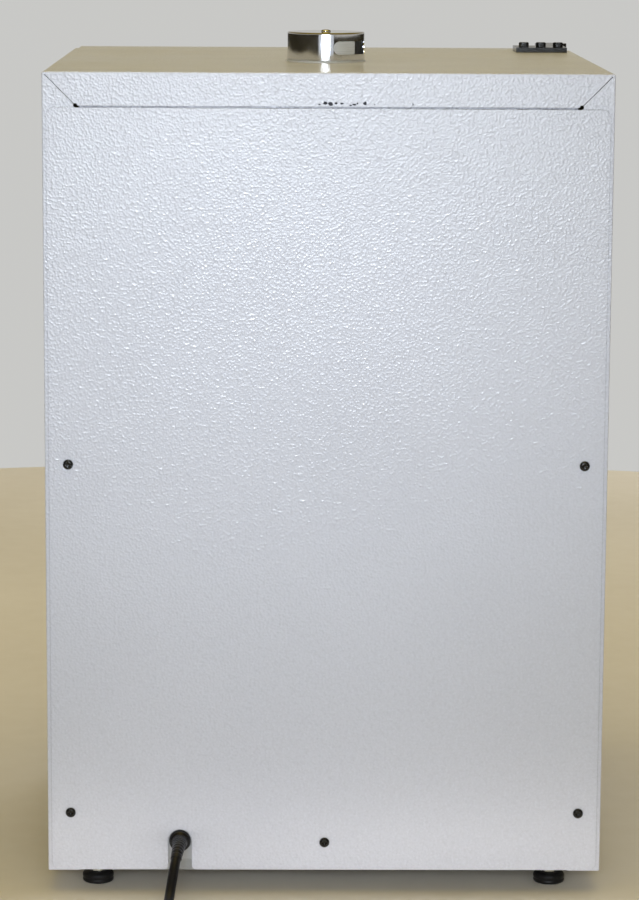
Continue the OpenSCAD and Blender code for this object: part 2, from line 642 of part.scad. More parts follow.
module door_bushings() color([0.9, 0.9, 0.88]) for (top = [0, 1])
    translate([hinge_x, rear_y - hinge_d, top ? door_top + 1.5 : door_bottom - 1.5]) mirror([0, 0, top])
        difference() {
            union() {
                cylinder(r = 10.5, h = 1.5);
                cylinder(r = 7, h = 24);
            }
            translate([0, 0, -1]) cylinder(r = hinge_pin_r + fit, h = 26);
        }

module door_handle() color(chrome) {
    bend = 16;
    out = handle_out - handle_r;
    for (s = [-1, 1]) {
        turned_front(handle_x, door_front, handle_z + s * handle_grip / 2) {
            cylinder(r = handle_r, h = out - bend);
            cylinder(r = 11, h = 3);
        }
        translate([handle_x, rear_y - door_front - out + bend, handle_z + s * (handle_grip / 2 - bend)])
            rotate([0, -90, 0]) rotate([0, 0, s > 0 ? -90 : 180])
                rotate_extrude(angle = 90) translate([bend, 0]) circle(handle_r);
    }
    translate([handle_x, rear_y - door_front - out, handle_z - handle_grip / 2 + bend])
        cylinder(r = handle_r, h = handle_grip - 2 * bend);
}

module door_handle_screws() color(zinc) for (s = [-1, 1])
    turned_back(handle_x, door_front - sheet_t - 0.1, handle_z + s * handle_grip / 2)
        pan_screw(4.4, 2.6, 2.4, sheet_t);

// ---- Controls ----

module control_panel() color([0.30, 0.31, 0.34]) difference() {
    union() {
        plate(cab_d - sheet_t, sheet_t)
            round_rect(-frame_x, foot_h + 1, frame_x, foot_h + control_h - 0.4, 1.5);
        for (z = [foot_h + 15, foot_h + control_h - 0.4 - sheet_t])
            slab(-frame_x + 6, cab_d - 14, z, 2 * frame_x - 12, 13, sheet_t);
    }
    bar(knob_x, cab_d - 3, control_z, 5, 6);
    plate(cab_d - 3, 6) round_rect(switch_x - 14.3, control_z - 10.3, switch_x + 14.3, control_z + 10.3, 1);
    bar(lamp_x, cab_d - 3, control_z, 6.1, 6);
    for (x = [-1, 1], z = [foot_h + 9, foot_h + control_h - 10])
        bar(x * (frame_x - 9), cab_d - 3, z, 2, 6);
}

module control_panel_screws() color(steel) for (x = [-1, 1], z = [foot_h + 9, foot_h + control_h - 10])
    turned_front(x * (frame_x - 9), cab_d, z) pan_screw(3.4, 1.8, 1.8, 8);

module temperature_dial() color([0.85, 0.85, 0.86]) difference() {
    bar(knob_x, cab_d, control_z, dial_r, 1);
    bar(knob_x, cab_d - 1, control_z, 5, 4);
}

module thermostat() color(zinc) {
    slab(knob_x - 19, cab_d - 46, control_z - 21, 38, 44.6, 42);
    bar(knob_x, cab_d - 2, control_z, 4.6, 5);
    bar(knob_x, cab_d + 2.9, control_z, 3, 16.1);
}

module thermostat_bulb() color([0.72, 0.45, 0.32]) {
    bent_bar([[knob_x, cab_d - 46.1, control_z], [knob_x, bulb_d, control_z],
              [bulb_x, bulb_d, control_z], [bulb_x, bulb_d, floor_z + 61]], 1);
    translate([bulb_x, rear_y - bulb_d, floor_z + 60]) cylinder(r = 3, h = 95);
}

module temperature_knob() color(black) difference() {
    turned_front(knob_x, cab_d + 1.3, control_z) {
        rotate_extrude() polygon([
            [0, 0], [23, 0], [23, 1.6], [17.5, 3.6], [16, 6], [15, 18.5], [13.6, 20], [0, 20]]);
        for (a = [0:20:340]) rotate(a) translate([15.6, 0, 5]) cylinder(r = 1.4, h = 12, $fn = 24);
    }
    bar(knob_x, cab_d, control_z, 3 + fit, 19.4);
    bar(knob_x, cab_d, control_z, 5, 3.4);
    slab(knob_x - 0.7, cab_d + 20.7, control_z + 3, 1.4, 2, 13);
}

module switch_bezel() color(black) difference() {
    union() {
        plate(cab_d, 1.6) round_rect(switch_x - 16, control_z - 12, switch_x + 16, control_z + 12, 2);
        plate(cab_d - 20, 20) round_rect(switch_x - 14, control_z - 10, switch_x + 14, control_z + 10, 1);
    }
    plate(cab_d - 9, 12) round_rect(switch_x - 12.6, control_z - 8.8, switch_x + 12.6, control_z + 8.8, 0.6);
    translate([switch_x - 13.4, rear_y - cab_d + 2.5, control_z])
        rotate([0, 90, 0]) cylinder(r = 1.2 + fit, h = 26.8);
}

// A rocker that tips about its cross pin, shown pressed in at the top
module power_switch() color(black) translate([switch_x, rear_y - cab_d + 2.5, control_z]) {
    rotate([-rocker_tilt, 0, 0]) rotate([0, 90, 0]) translate([0, 0, -12.3])
        linear_extrude(24.6) intersection() {
            polygon([[-7.6, 1.5], [7.6, 1.5], [7.6, -4.9], [0, -3.2], [-7.6, -4.9]]);
            circle(8.3);
        }
    translate([-13, 0, 0]) rotate([0, 90, 0]) cylinder(r = 1.2, h = 26);
}

module pilot_lamp_bezel() color(chrome) {
    turned_front(lamp_x, cab_d, control_z) difference() {
        union() {
            rotate_extrude() polygon([[0, 0], [9, 0], [9, 1.2], [7.4, 3], [0, 3]]);
            translate([0, 0, -16]) cylinder(r = 6, h = 17);
        }
        translate([0, 0, -12]) cylinder(r = 5, h = 20);
    }
}

module pilot_lamp_lens() color([0.95, 0.45, 0.05]) turned_front(lamp_x, cab_d, control_z)
    rotate_extrude() polygon([[0, -11.5], [4.9, -11.5], [4.9, 3.4], [4.2, 5.4], [2.6, 6.8], [0, 7.3]]);

module terminal_block() color(cream) difference() {
    slab(60, 60, foot_h + sheet_t + 0.1, 72, 24, 20);
    for (k = [0:4]) {
        slab(63 + 14 * k, 58, foot_h + 12, 10, 28, 12);
        translate([68 + 14 * k, rear_y - 72, foot_h + 6]) cylinder(r = 2.5, h = 10);
    }
}

// The lead's cores and the wires between the terminals, the switch, the thermostat and the heater
module wiring_harness() color(black) {
    wire([[cord_x, 14.5, cord_z], [cord_x, 30, cord_z], [102, 48, foot_h + 30], [102, 56, foot_h + 17]], 3.6);
    wire([[66, 86, foot_h + 15], [66, 110, foot_h + 8], [switch_x, 340, foot_h + 8],
          [switch_x, 370, control_z], [switch_x, cab_d - 20.3, control_z]], 1.5);
    wire([[80, 86, foot_h + 15], [80, 120, foot_h + 12], [knob_x + 10, 340, control_z - 10],
          [knob_x + 10, cab_d - 46.3, control_z - 10]], 1.5);
    wire([[94, 86, foot_h + 15], [94, 96, foot_h + 40], [heater_half - 20, 80, foot_h + 60],
          [heater_half - 20, 80, floor_z - 55.3]], 1.5);
}

// ---- Vent ----

// A sector of a ring, cut through anything between two radii
module sector(r0, r1, a0, a1, z, h) translate([0, 0, z]) rotate([0, 0, a0])
    rotate_extrude(angle = a1 - a0) translate([r0, 0]) square([r1 - r0, h]);

module vent_tube() color(steel) translate([0, rear_y - vent_back, 0]) difference() {
    union() {
        translate([0, 0, ceiling_z - liner_t - 2]) cylinder(r = tube_r - tube_t - 0.1, h = 4);
        translate([0, 0, ceiling_z + liner_t + 0.1]) cylinder(r = tube_r, h = top_z + 2 - ceiling_z);
        translate([0, 0, ceiling_z - 1.4]) cylinder(r = tube_r + 6, h = 1.3);
    }
    translate([0, 0, ceiling_z - 5]) cylinder(r = tube_r - tube_t - 1.3, h = 100);
}

// The fixed sleeve under the cap has two square openings and a bridge for the cap's screw
module vent_collar() color([0.85, 0.86, 0.86]) translate([0, rear_y - vent_back, top_z]) difference() {
    union() {
        difference() {
            cylinder(r = sleeve_r, h = vent_h - 2.2);
            translate([0, 0, -1]) cylinder(r = sleeve_r - sleeve_t, h = vent_h + 2);
            for (a = [140, -40]) sector(sleeve_r - 4, sleeve_r + 2, a, a + 90, 5.5, 13.6);
        }
        difference() {
            cylinder(r = cap_r, h = 1.4);
            translate([0, 0, -1]) cylinder(r = tube_r + 0.4, h = 4);
        }
        translate([-sleeve_r + 0.5, -4, vent_h - 5]) cube([2 * sleeve_r - 1, 8, 2.4]);
    }
    translate([0, 0, vent_h - 8]) cylinder(r = 2.3 + fit, h = 10);
}

// The cap turns on the sleeve; its two round-ended slots open or close the vent
module vent_cap() color(chrome) translate([0, rear_y - vent_back, top_z]) difference() {
    rotate_extrude() polygon([
        [0, 1.8], [cap_r, 1.8], [cap_r, vent_h - 1.6], [cap_r - 0.5, vent_h - 0.5],
        [cap_r - 1.6, vent_h], [0, vent_h]]);
    translate([0, 0, -1]) cylinder(r = cap_r - cap_t, h = vent_h - 1.1 + 1);
    for (a = [110, -70]) {
        sector(cap_r - 4, cap_r + 2, a, a + 70,
               vent_slot_z - top_z - vent_slot_h / 2 + 0.1, vent_slot_h - 0.2);
        for (b = [a, a + 70]) rotate([0, 0, b]) translate([cap_r - 4, 0, vent_slot_z - top_z])
            rotate([0, 90, 0]) cylinder(r = vent_slot_h / 2, h = 6);
    }
    translate([0, 0, vent_h - 3]) cylinder(r = 2.4, h = 6);
}

module vent_cap_screw() color(steel) translate([0, rear_y - vent_back, top_z + vent_h])
    pan_screw(4.2, 1.6, 2.3, 8);

// ---- Mains lead ----

module strain_relief() color(black) turned_back(cord_x, 0, cord_z) difference() {
    rotate_extrude() polygon([
        [0, -14], [6.4, -14], [7.9, -7], [7.9, -2.5], [bushing_r, -2.4], [bushing_r, 1.4],
        [bushing_r - 0.8, 2.6], [7.2, 3.2], [5.6, 9], [0, 9]]);
    translate([0, 0, -14.5]) cylinder(r = 3.6, h = 10);
}

module power_cord() color(black) {
    sweep(behind(cord_route), cord_d / 2);
    sweep(behind(tail_route), cord_d / 2);
}

// The outer shape of the coil: turns two side by side and three high
module cord_coil() color(black) translate([coil_x, rear_y + coil_back, 0]) rotate_extrude()
    translate([coil_r - cord_d, 0]) square([2 * cord_d, 3 * cord_d]);

module plug_body() color(black) translate([plug_at[0], rear_y + plug_at[1], plug_at[2]]) rotate([0, -90, 0]) {
    rotate_extrude() polygon([[0, 0], [5.6, 0], [7, 16], [0, 16]]);
    translate([-12.5, 0, 14]) linear_extrude(30) {
        translate([0, -9]) square([21, 18]);
        translate([4, -13]) square([13, 26]);
        for (s = [-1, 1]) {
            translate([4, s * 9]) circle(4);
            translate([17, s * 9]) circle(4);
        }
    }
}

module plug_blades() color([0.85, 0.75, 0.45])
    translate([plug_at[0] - 44, rear_y + plug_at[1], plug_at[2]]) {
        for (s = [-1, 1]) translate([-16, s * 6.35 - 0.75, -5.6]) cube([16, 1.5, 6.3]);
        translate([0, 0, 5]) rotate([0, -90, 0]) cylinder(r = 2.4, h = 18);
    }

cabinet_shell();
base_pan();
rear_panel();
rear_panel_screws();
foot_nuts();
front_rail();
face_frame();
face_frame_screws();
chamber_liner();
insulation();
heating_element();
heater_brackets();
diffuser_plate();
shelf_rack_left();
shelf_rack_right();
glass_gasket();
glass_hinge_brackets();
magnetic_catch();
top_hinge_plate();
top_hinge_screws();
bottom_hinge_bracket();
bottom_hinge_screws();
control_panel();
control_panel_screws();
temperature_dial();
thermostat();
thermostat_bulb();
switch_bezel();
pilot_lamp_bezel();
pilot_lamp_lens();
terminal_block();
wiring_harness();
vent_tube();
vent_collar();
strain_relief();
power_cord();
cord_coil();
plug_body();
plug_blades();
foot_rear_left();
foot_rear_right();
foot_front_left();
foot_front_right();
vent_cap();
vent_cap_screw();
door_skin();
door_liner();
door_insulation();
door_gasket();
door_handle();
door_handle_screws();
door_bushings();
glass_pane();
glass_hinge_leaves();
glass_knob();
shelf_upper();
shelf_lower();
temperature_knob();
power_switch();
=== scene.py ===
"""A laboratory incubator seen from behind: painted cabinet, chrome vent, levelling feet and mains lead.

Every piece is in metres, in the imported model's frame: X across the front, Y towards the rear, Z up.
"""

import json
import math
import random

import bmesh
import bpy
from mathutils import Matrix, Vector, noise


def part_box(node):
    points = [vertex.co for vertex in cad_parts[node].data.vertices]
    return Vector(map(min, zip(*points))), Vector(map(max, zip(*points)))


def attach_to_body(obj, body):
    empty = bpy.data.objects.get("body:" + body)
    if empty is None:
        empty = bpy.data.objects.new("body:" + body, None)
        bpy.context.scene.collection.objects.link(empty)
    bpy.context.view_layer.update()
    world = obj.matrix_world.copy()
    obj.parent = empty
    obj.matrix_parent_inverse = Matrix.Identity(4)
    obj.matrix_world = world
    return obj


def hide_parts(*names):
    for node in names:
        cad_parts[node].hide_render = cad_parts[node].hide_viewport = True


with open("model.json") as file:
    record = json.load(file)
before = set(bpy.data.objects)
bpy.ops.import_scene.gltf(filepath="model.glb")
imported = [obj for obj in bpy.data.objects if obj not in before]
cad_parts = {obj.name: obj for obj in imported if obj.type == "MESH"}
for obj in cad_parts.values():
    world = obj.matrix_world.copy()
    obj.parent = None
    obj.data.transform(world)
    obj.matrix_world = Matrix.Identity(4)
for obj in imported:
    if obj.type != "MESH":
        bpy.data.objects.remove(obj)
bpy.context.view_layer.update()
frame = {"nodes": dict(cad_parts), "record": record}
record = frame["record"]
MM = 0.001
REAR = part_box("rear_panel")[1].y          # the rear panel's outer face
shell_low, shell_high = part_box("cabinet_shell")
TOP, SIDE = shell_high.z, shell_high.x
BODY_OF = {node: body for body, nodes in record["behaviour"]["bodies"].items() for node in nodes}
SLOT_OF = {part["node"]: part["material_slot"] for part in record["subparts"]}


# ---- Camera ----

def make_camera():
    """Looks at the rear face from a little above and almost square on."""
    pitch, yaw, roll = (math.radians(a) for a in (9.72, 0.72, 0.32))
    forward = Vector((-math.sin(yaw) * math.cos(pitch), -math.cos(yaw) * math.cos(pitch), -math.sin(pitch)))
    level = Vector((-math.cos(yaw), math.sin(yaw), 0))
    upright = level.cross(forward)
    right = math.cos(roll) * level + math.sin(roll) * upright
    up = math.cos(roll) * upright - math.sin(roll) * level
    data = bpy.data.cameras.new("camera")
    data.lens = 128.1
    data.sensor_width = 36
    data.clip_end = 50
    camera = bpy.data.objects.new("camera", data)
    bpy.context.scene.collection.objects.link(camera)
    turn = Matrix((right, up, -forward)).transposed().to_4x4()
    camera.matrix_world = Matrix.Translation((0.038, REAR + 2.558, 0.810)) @ turn
    bpy.context.scene.camera = camera


make_camera()
bpy.context.scene.view_settings.view_transform = "Standard"


# ---- Mesh helpers ----

def add_object(name, mesh):
    obj = bpy.data.objects.new(name, mesh)
    bpy.context.scene.collection.objects.link(obj)
    return obj


SAME_POINT = 2e-6                         # points closer than this are one


def as_object(name, bm, crease=38, flat=False):
    """Turns a bmesh into an object, smooth except across edges sharper than crease degrees."""
    bmesh.ops.remove_doubles(bm, verts=bm.verts, dist=SAME_POINT)
    bmesh.ops.dissolve_degenerate(bm, dist=SAME_POINT, edges=bm.edges)
    bmesh.ops.recalc_face_normals(bm, faces=bm.faces)
    mesh = bpy.data.meshes.new(name)
    bm.to_mesh(mesh)
    bm.free()
    obj = add_object(name, mesh)
    if not flat:
        mesh.shade_smooth()
        mesh.set_sharp_from_angle(angle=math.radians(crease))
        obj.modifiers.new("weighted", "WEIGHTED_NORMAL").keep_sharp = True
    return obj


def install(obj, material, node, *more_nodes):
    """Gives a finished piece its material, its body and the CAD nodes that it stands for."""
    obj.data.materials.clear()
    obj.data.materials.append(material)
    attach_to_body(obj, BODY_OF[node])
    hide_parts(node, *more_nodes)


def attach(obj, material, node):
    """As install, for a small piece added to a node that is itself shown."""
    obj.data.materials.clear()
    obj.data.materials.append(material)
    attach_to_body(obj, BODY_OF[node])


def bridge(bm, rings, close_ends=True):
    """Joins rings of vertices, each the same count, into a closed skin."""
    count = len(rings[0])
    for low, high in zip(rings, rings[1:]):
        for k in range(count):
            bm.faces.new((low[k], low[(k + 1) % count], high[(k + 1) % count], high[k]))
    if close_ends:
        bm.faces.new(list(reversed(rings[0])))
        bm.faces.new(rings[-1])


def lathe(bm, profile, centre, axis="Z", sides=64):
    """Turns (radius, height) points about an axis through centre; the profile starts and ends on the axis."""
    frames = {"X": (Vector((0, 1, 0)), Vector((0, 0, 1)), Vector((1, 0, 0))),
              "Y": (Vector((0, 0, 1)), Vector((1, 0, 0)), Vector((0, 1, 0))),
              "Z": (Vector((1, 0, 0)), Vector((0, 1, 0)), Vector((0, 0, 1)))}
    u, v, w = frames[axis]
    centre = Vector(centre)
    rings = []
    for radius, height in profile:
        at = centre + w * height
        if radius < 1e-7:
            rings.append([bm.verts.new(at)])
            continue
        rings.append([bm.verts.new(at + radius * (math.cos(a) * u + math.sin(a) * v))
                      for a in (2 * math.pi * k / sides for k in range(sides))])
    for low, high in zip(rings, rings[1:]):
        for k in range(sides):
            n = (k + 1) % sides
            if len(low) == 1:
                bm.faces.new((low[0], high[n], high[k]))
            elif len(high) == 1:
                bm.faces.new((low[k], low[n], high[0]))
            else:
                bm.faces.new((low[k], low[n], high[n], high[k]))


def rounded(points, radius, steps=5):
    """A profile with its inner corners replaced by arcs of that radius, or less where a side is short."""
    out = [points[0]]
    for before, corner, after in zip(points, points[1:], points[2:]):
        c = Vector(corner)
        a, b = Vector(before) - c, Vector(after) - c
        reach = min(radius, a.length * 0.45, b.length * 0.45)
        start, end = c + a.normalized() * reach, c + b.normalized() * reach
        for k in range(steps + 1):
            t = k / steps
            out.append(tuple((1 - t) ** 2 * start + 2 * t * (1 - t) * c + t ** 2 * end))
    out.append(points[-1])
    return out


def block(bm, low, high):
    """A closed box; its edges are rounded later."""
    verts = bmesh.ops.create_cube(bm, size=1)["verts"]
    low, high = Vector(low), Vector(high)
    for v in verts:
        v.co = (low + high) / 2 + Vector(v.co[k] * (high - low)[k] for k in range(3))


def soften(bm, width, segments=2, angle=30, chosen=None, shortest=0.0):
    """Rounds the chosen edges, or all that are sharper than angle degrees."""
    edges = [e for e in bm.edges if e.is_manifold and e.calc_face_angle(0) > math.radians(angle)
             and e.calc_length() > shortest and (chosen is None or chosen(e))]
    if edges:
        bmesh.ops.bevel(bm, geom=edges, offset=width, segments=segments, profile=0.5,
                        affect="EDGES", clamp_overlap=True, loop_slide=True)


def from_cad(node):
    """A clean copy of a CAD node's surface: shared points joined and flat faces merged."""
    bm = bmesh.new()
    bm.from_mesh(frame["nodes"][node].data)
    bmesh.ops.remove_doubles(bm, verts=bm.verts, dist=SAME_POINT)
    bmesh.ops.dissolve_limit(bm, angle_limit=math.radians(0.6), verts=bm.verts, edges=bm.edges)
    return bm


# ---- Mains lead ----

CORD_D = 8.2 * MM
# The same points as in the CAD: sideways, behind the rear face, and up, in millimetres
CORD_ROUTE = [
    (119.5, 9, 43.3), (119.9, 15, 43), (120.5, 21.5, 41.7), (121.4, 28.5, 38.6), (122.5, 34.8, 33.6),
    (123.8, 39.8, 27.4), (125.1, 44.6, 20), (126.1, 49.6, 13.8), (127.1, 56.4, 8.7), (128.1, 64.5, 5.4),
    (129, 74, 4.2), (130.2, 90, 4.2), (131, 108, 4.2), (131.3, 128, 4.2), (131.3, 148, 4.2)]
TAIL_ROUTE = [
    (98, 225, 8), (91, 229.5, 7.2), (83, 233.5, 7), (74, 236.8, 7.6), (65, 239.2, 9.2),
    (56, 240.7, 10.8), (47, 241.6, 12), (38, 242, 12.6), (30, 242, 12.8)]
COIL_X, COIL_BACK = 78, 168
COIL_OUTER, COIL_INNER = 53.3, 45.1
COIL_LAYER = 8.2
COIL_TURNS = 5.11
# The turns at which the lead moves to its next place in the coil, and that place's radius and height
COIL_PLACES = [
    (0.0, COIL_OUTER, 4.1), (0.833, COIL_INNER, 4.1), (1.667, COIL_INNER, 4.1 + COIL_LAYER),
    (2.5, COIL_INNER, 4.1 + 2 * COIL_LAYER), (3.333, COIL_OUTER, 4.1 + 2 * COIL_LAYER),
    (4.167, COIL_OUTER, 4.1 + COIL_LAYER)]
COIL_SHIFT = 0.2
COIL_POINTS_PER_TURN = 32


def smooth_step(t):
    t = min(max(t, 0.0), 1.0)
    return t * t * (3 - 2 * t)


def coil_point(turn):
    """Where the lead is after that many turns, in the route's own millimetres."""
    radius, height = COIL_PLACES[0][1:]
    for start, next_radius, next_height in COIL_PLACES[1:]:
        share = smooth_step((turn - start) / COIL_SHIFT)
        radius += (next_radius - radius) * share
        height += (next_height - height) * share
    angle = 2 * math.pi * turn
    return (COIL_X + radius * math.cos(angle), COIL_BACK + radius * math.sin(angle), height)


def lead_path():
    """The lead's centreline from its bushing to its plug, as points in metres."""
    steps = int(COIL_TURNS * COIL_POINTS_PER_TURN)
    coil = [coil_point(COIL_TURNS * k / steps) for k in range(steps + 1)]
    leaving = [(110.5, 212.5, 10.4)]
    millimetres = CORD_ROUTE + coil + leaving + TAIL_ROUTE
    return [Vector((x * MM, REAR + back * MM, z * MM)) for x, back, z in millimetres]


def resampled(points, spacing):
    """Points a fixed distance apart on a smooth curve through the given ones."""
    dense = []
    last = len(points) - 1
    for i in range(last):
        p0, p1, p2, p3 = (points[min(max(k, 0), last)] for k in (i - 1, i, i + 1, i + 2))
        for k in range(8):
            t = k / 8
            dense.append(0.5 * (2 * p1 + (p2 - p0) * t + (2 * p0 - 5 * p1 + 4 * p2 - p3) * t * t
                                + (3 * p1 - p0 - 3 * p2 + p3) * t ** 3))
    dense.append(points[-1])
    lengths = [0.0]
    for a, b in zip(dense, dense[1:]):
        lengths.append(lengths[-1] + (b - a).length)
    count = max(2, round(lengths[-1] / spacing))
    out, j = [], 0
    for i in range(count + 1):
        want = lengths[-1] * i / count
        while j < len(lengths) - 2 and lengths[j + 1] < want:
            j += 1
        share = (want - lengths[j]) / max(lengths[j + 1] - lengths[j], 1e-9)
        out.append(dense[j].lerp(dense[j + 1], share))
    return out


def tube(bm, path, radius, sides=16, radii=None):
    """A closed round tube along a path, carried along it without twist."""
    side = None
    rings = []
    for i, at in enumerate(path):
        along = (path[min(i + 1, len(path) - 1)] - path[max(i - 1, 0)]).normalized()
        if side is None:
            side = along.cross(Vector((0, 0, 1)) if abs(along.z) < 0.9 else Vector((1, 0, 0)))
        side = (side - along * side.dot(along)).normalized()
        other = along.cross(side)
        r = radii[i] if radii else radius
        rings.append([bm.verts.new(at + r * (math.cos(a) * side + math.sin(a) * other))
                      for a in (2 * math.pi * k / sides for k in range(sides))])
    bridge(bm, rings)


lead_points = resampled(lead_path(), 6 * MM)


def make_lead():
    bm = bmesh.new()
    tube(bm, lead_points, CORD_D / 2 - 0.02 * MM, sides=20)
    return as_object("mains_lead", bm, crease=60)


def make_tie():
    """A flat band round the coil's turns, on the side away from the cabinet."""
    bm = bmesh.new()
    angle = math.radians(250)
    out = Vector((math.cos(angle), math.sin(angle), 0))
    along = Vector((-out.y, out.x, 0))
    centre = Vector((COIL_X * MM, REAR + COIL_BACK * MM, 0))
    inner, outer = (COIL_INNER - 4.4) * MM, (COIL_OUTER + 4.4) * MM
    bottom, top = 0.15 * MM, (3 * COIL_LAYER + 0.3) * MM
    corner, thick, half = 3.2 * MM, 0.7 * MM, 4.5 * MM
    loop = []
    for cx, cz, start in ((outer - corner, bottom + corner, -90), (outer - corner, top - corner, 0),
                          (inner + corner, top - corner, 90), (inner + corner, bottom + corner, 180)):
        for k in range(7):
            a = math.radians(start + 15 * k)
            loop.append((cx + corner * math.cos(a), cz + corner * math.sin(a), math.cos(a), math.sin(a)))
    rings = []
    for r, z, nr, nz in loop:
        ring = []
        for push, shift in ((0, -half), (0, half), (-thick, half), (-thick, -half)):
            at = centre + out * (r + nr * push) + along * shift
            ring.append(bm.verts.new((at.x, at.y, z + nz * push)))
        rings.append(ring)
    bridge(bm, rings + [rings[0]], close_ends=False)
    soften(bm, 0.15 * MM, 2, angle=50)
    return as_object("coil_tie", bm)


def make_plug():
    """A moulded plug: ribbed relief, then a body with rounded flanks and finger grooves."""
    low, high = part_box("plug_body")
    centre_y = (low.y + high.y) / 2
    lead_end = lead_points[-1]
    bm = bmesh.new()
    sides = 40
    sections = []
    for k in range(9):                                  # the ribbed relief
        s = 1.9 * k
        for offset, grow in ((0.0, 0.0), (0.35, 0.75), (1.25, 0.75), (1.6, 0.0)):
            radius = 4.5 + 0.14 * k + grow
            sections.append((s + offset, radius, radius, lead_end.z / MM, 2.0))
    body_height = (high.z - low.z) / MM
    middle = (low.z + high.z) / 2 / MM
    for s, width, height in ((17.4, 6.6, 6.6), (18.2, 8.4, 8.0), (19.4, 10.4, 9.2), (21.4, 12.2, 10.1),
                             (24, 12.8, 10.4), (26, 12.2, 10.4), (27, 12.2, 10.4), (29, 12.9, 10.5),
                             (31, 12.2, 10.5), (32, 12.2, 10.5), (34, 12.9, 10.5), (36, 12.2, 10.5),
                             (37, 12.2, 10.5), (39, 12.95, 10.5), (42.6, 12.95, 10.5), (43.6, 12.6, 10.2),
                             (44.0, 11.9, 9.6)):
        share = smooth_step((s - 16) / 6)
        sections.append((s, width, min(height, body_height / 2 - 0.02),
                         lead_end.z / MM * (1 - share) + middle * share, 2 + 1.6 * share))
    rings = []
    for s, width, height, z, power in sections:
        ring = []
        for k in range(sides):
            a = 2 * math.pi * k / sides
            c, t = math.cos(a), math.sin(a)
            y = math.copysign(abs(c) ** (2 / power), c) * width
            h = math.copysign(abs(t) ** (2 / power), t) * height
            ring.append(bm.verts.new((lead_end.x - s * MM, centre_y + y * MM, (z + h) * MM)))
        rings.append(ring)
    bridge(bm, rings)
    return as_object("moulded_plug", bm, crease=50)


lead = make_lead()
plug = make_plug()
tie = make_tie()


# ---- Materials ----

class Look:
    """A material being built: a Principled shader and what feeds it, in the object's own metres."""

    def __init__(self, name, roughness=0.5, metallic=0.0, **sockets):
        self.material = bpy.data.materials.new(name)
        self.material.use_nodes = True
        self.nodes = self.material.node_tree.nodes
        self.links = self.material.node_tree.links
        self.shader = self.nodes["Principled BSDF"]
        self.shader.inputs["Roughness"].default_value = roughness
        self.shader.inputs["Metallic"].default_value = metallic
        for socket, value in sockets.items():
            self.shader.inputs[socket.replace("_", " ")].default_value = value
        self.coordinates = self.nodes.new("ShaderNodeTexCoord").outputs["Object"]
        self.last_normal = None

    def stretched(self, stretch, turn=(0, 0, 0)):
        node = self.nodes.new("ShaderNodeMapping")
        node.inputs["Scale"].default_value = stretch
        node.inputs["Rotation"].default_value = [math.radians(a) for a in turn]
        self.links.new(self.coordinates, node.inputs["Vector"])
        return node.outputs["Vector"]

    def noise(self, per_metre, detail=2.0, stretch=None, turn=(0, 0, 0), distortion=0.0):
        node = self.nodes.new("ShaderNodeTexNoise")
        node.inputs["Scale"].default_value = per_metre
        node.inputs["Detail"].default_value = detail
        node.inputs["Distortion"].default_value = distortion
        vector = self.stretched(stretch, turn) if stretch else self.coordinates
        self.links.new(vector, node.inputs["Vector"])
        return node.outputs["Fac"]

    def cells(self, per_metre, feature="SMOOTH_F1", output="Distance"):
        node = self.nodes.new("ShaderNodeTexVoronoi")
        node.feature = feature
        node.inputs["Scale"].default_value = per_metre
        self.links.new(self.coordinates, node.inputs["Vector"])
        return node.outputs[output]

    def openness(self, reach):
        """1 on an open surface, less in gaps and corners narrower than reach."""
        node = self.nodes.new("ShaderNodeAmbientOcclusion")
        node.samples = 4
        node.inputs["Distance"].default_value = reach
        return node.outputs["AO"]

    def mapped(self, value, low, high, start=0.0, end=1.0):
        node = self.nodes.new("ShaderNodeMapRange")
        for socket, number in (("From Min", start), ("From Max", end), ("To Min", low), ("To Max", high)):
            node.inputs[socket].default_value = number
        self.links.new(value, node.inputs["Value"])
        return node.outputs["Result"]

    def math(self, operation, a, b=None):
        node = self.nodes.new("ShaderNodeMath")
        node.operation = operation
        for socket, value in zip(node.inputs, (a, b)):
            if isinstance(value, (int, float)):
                socket.default_value = value
            elif value is not None:
                self.links.new(value, socket)
        return node.outputs[0]

    def ramp(self, value, *stops):
        node = self.nodes.new("ShaderNodeValToRGB")
        elements = node.color_ramp.elements
        while len(elements) < len(stops):
            elements.new(0.5)
        for element, (position, colour) in zip(elements, stops):
            element.position = position
            element.color = (*colour, 1)
        self.links.new(value, node.inputs["Fac"])
        return node.outputs["Color"]

    def blend(self, share, first, second):
        node = self.nodes.new("ShaderNodeMix")
        node.data_type = "RGBA"
        sockets = [s for s in node.inputs if s.type == "RGBA"]
        self.links.new(share, node.inputs["Factor"])
        for socket, value in zip(sockets, (first, second)):
            if isinstance(value, tuple):
                socket.default_value = (*value, 1)
            else:
                self.links.new(value, socket)
        return next(s for s in node.outputs if s.type == "RGBA")

    def colour(self, output):
        self.links.new(output, self.shader.inputs["Base Color"])

    def rough(self, output):
        self.links.new(output, self.shader.inputs["Roughness"])

    def bump(self, output, height):
        """Raises the surface by height metres where the output is 1."""
        node = self.nodes.new("ShaderNodeBump")
        node.inputs["Distance"].default_value = height
        self.links.new(output, node.inputs["Height"])
        if self.last_normal:
            self.links.new(self.last_normal, node.inputs["Normal"])
        self.last_normal = node.outputs["Normal"]
        self.links.new(self.last_normal, self.shader.inputs["Normal"])


def shade(colour, factor):
    return tuple(min(1.0, c * factor) for c in colour)


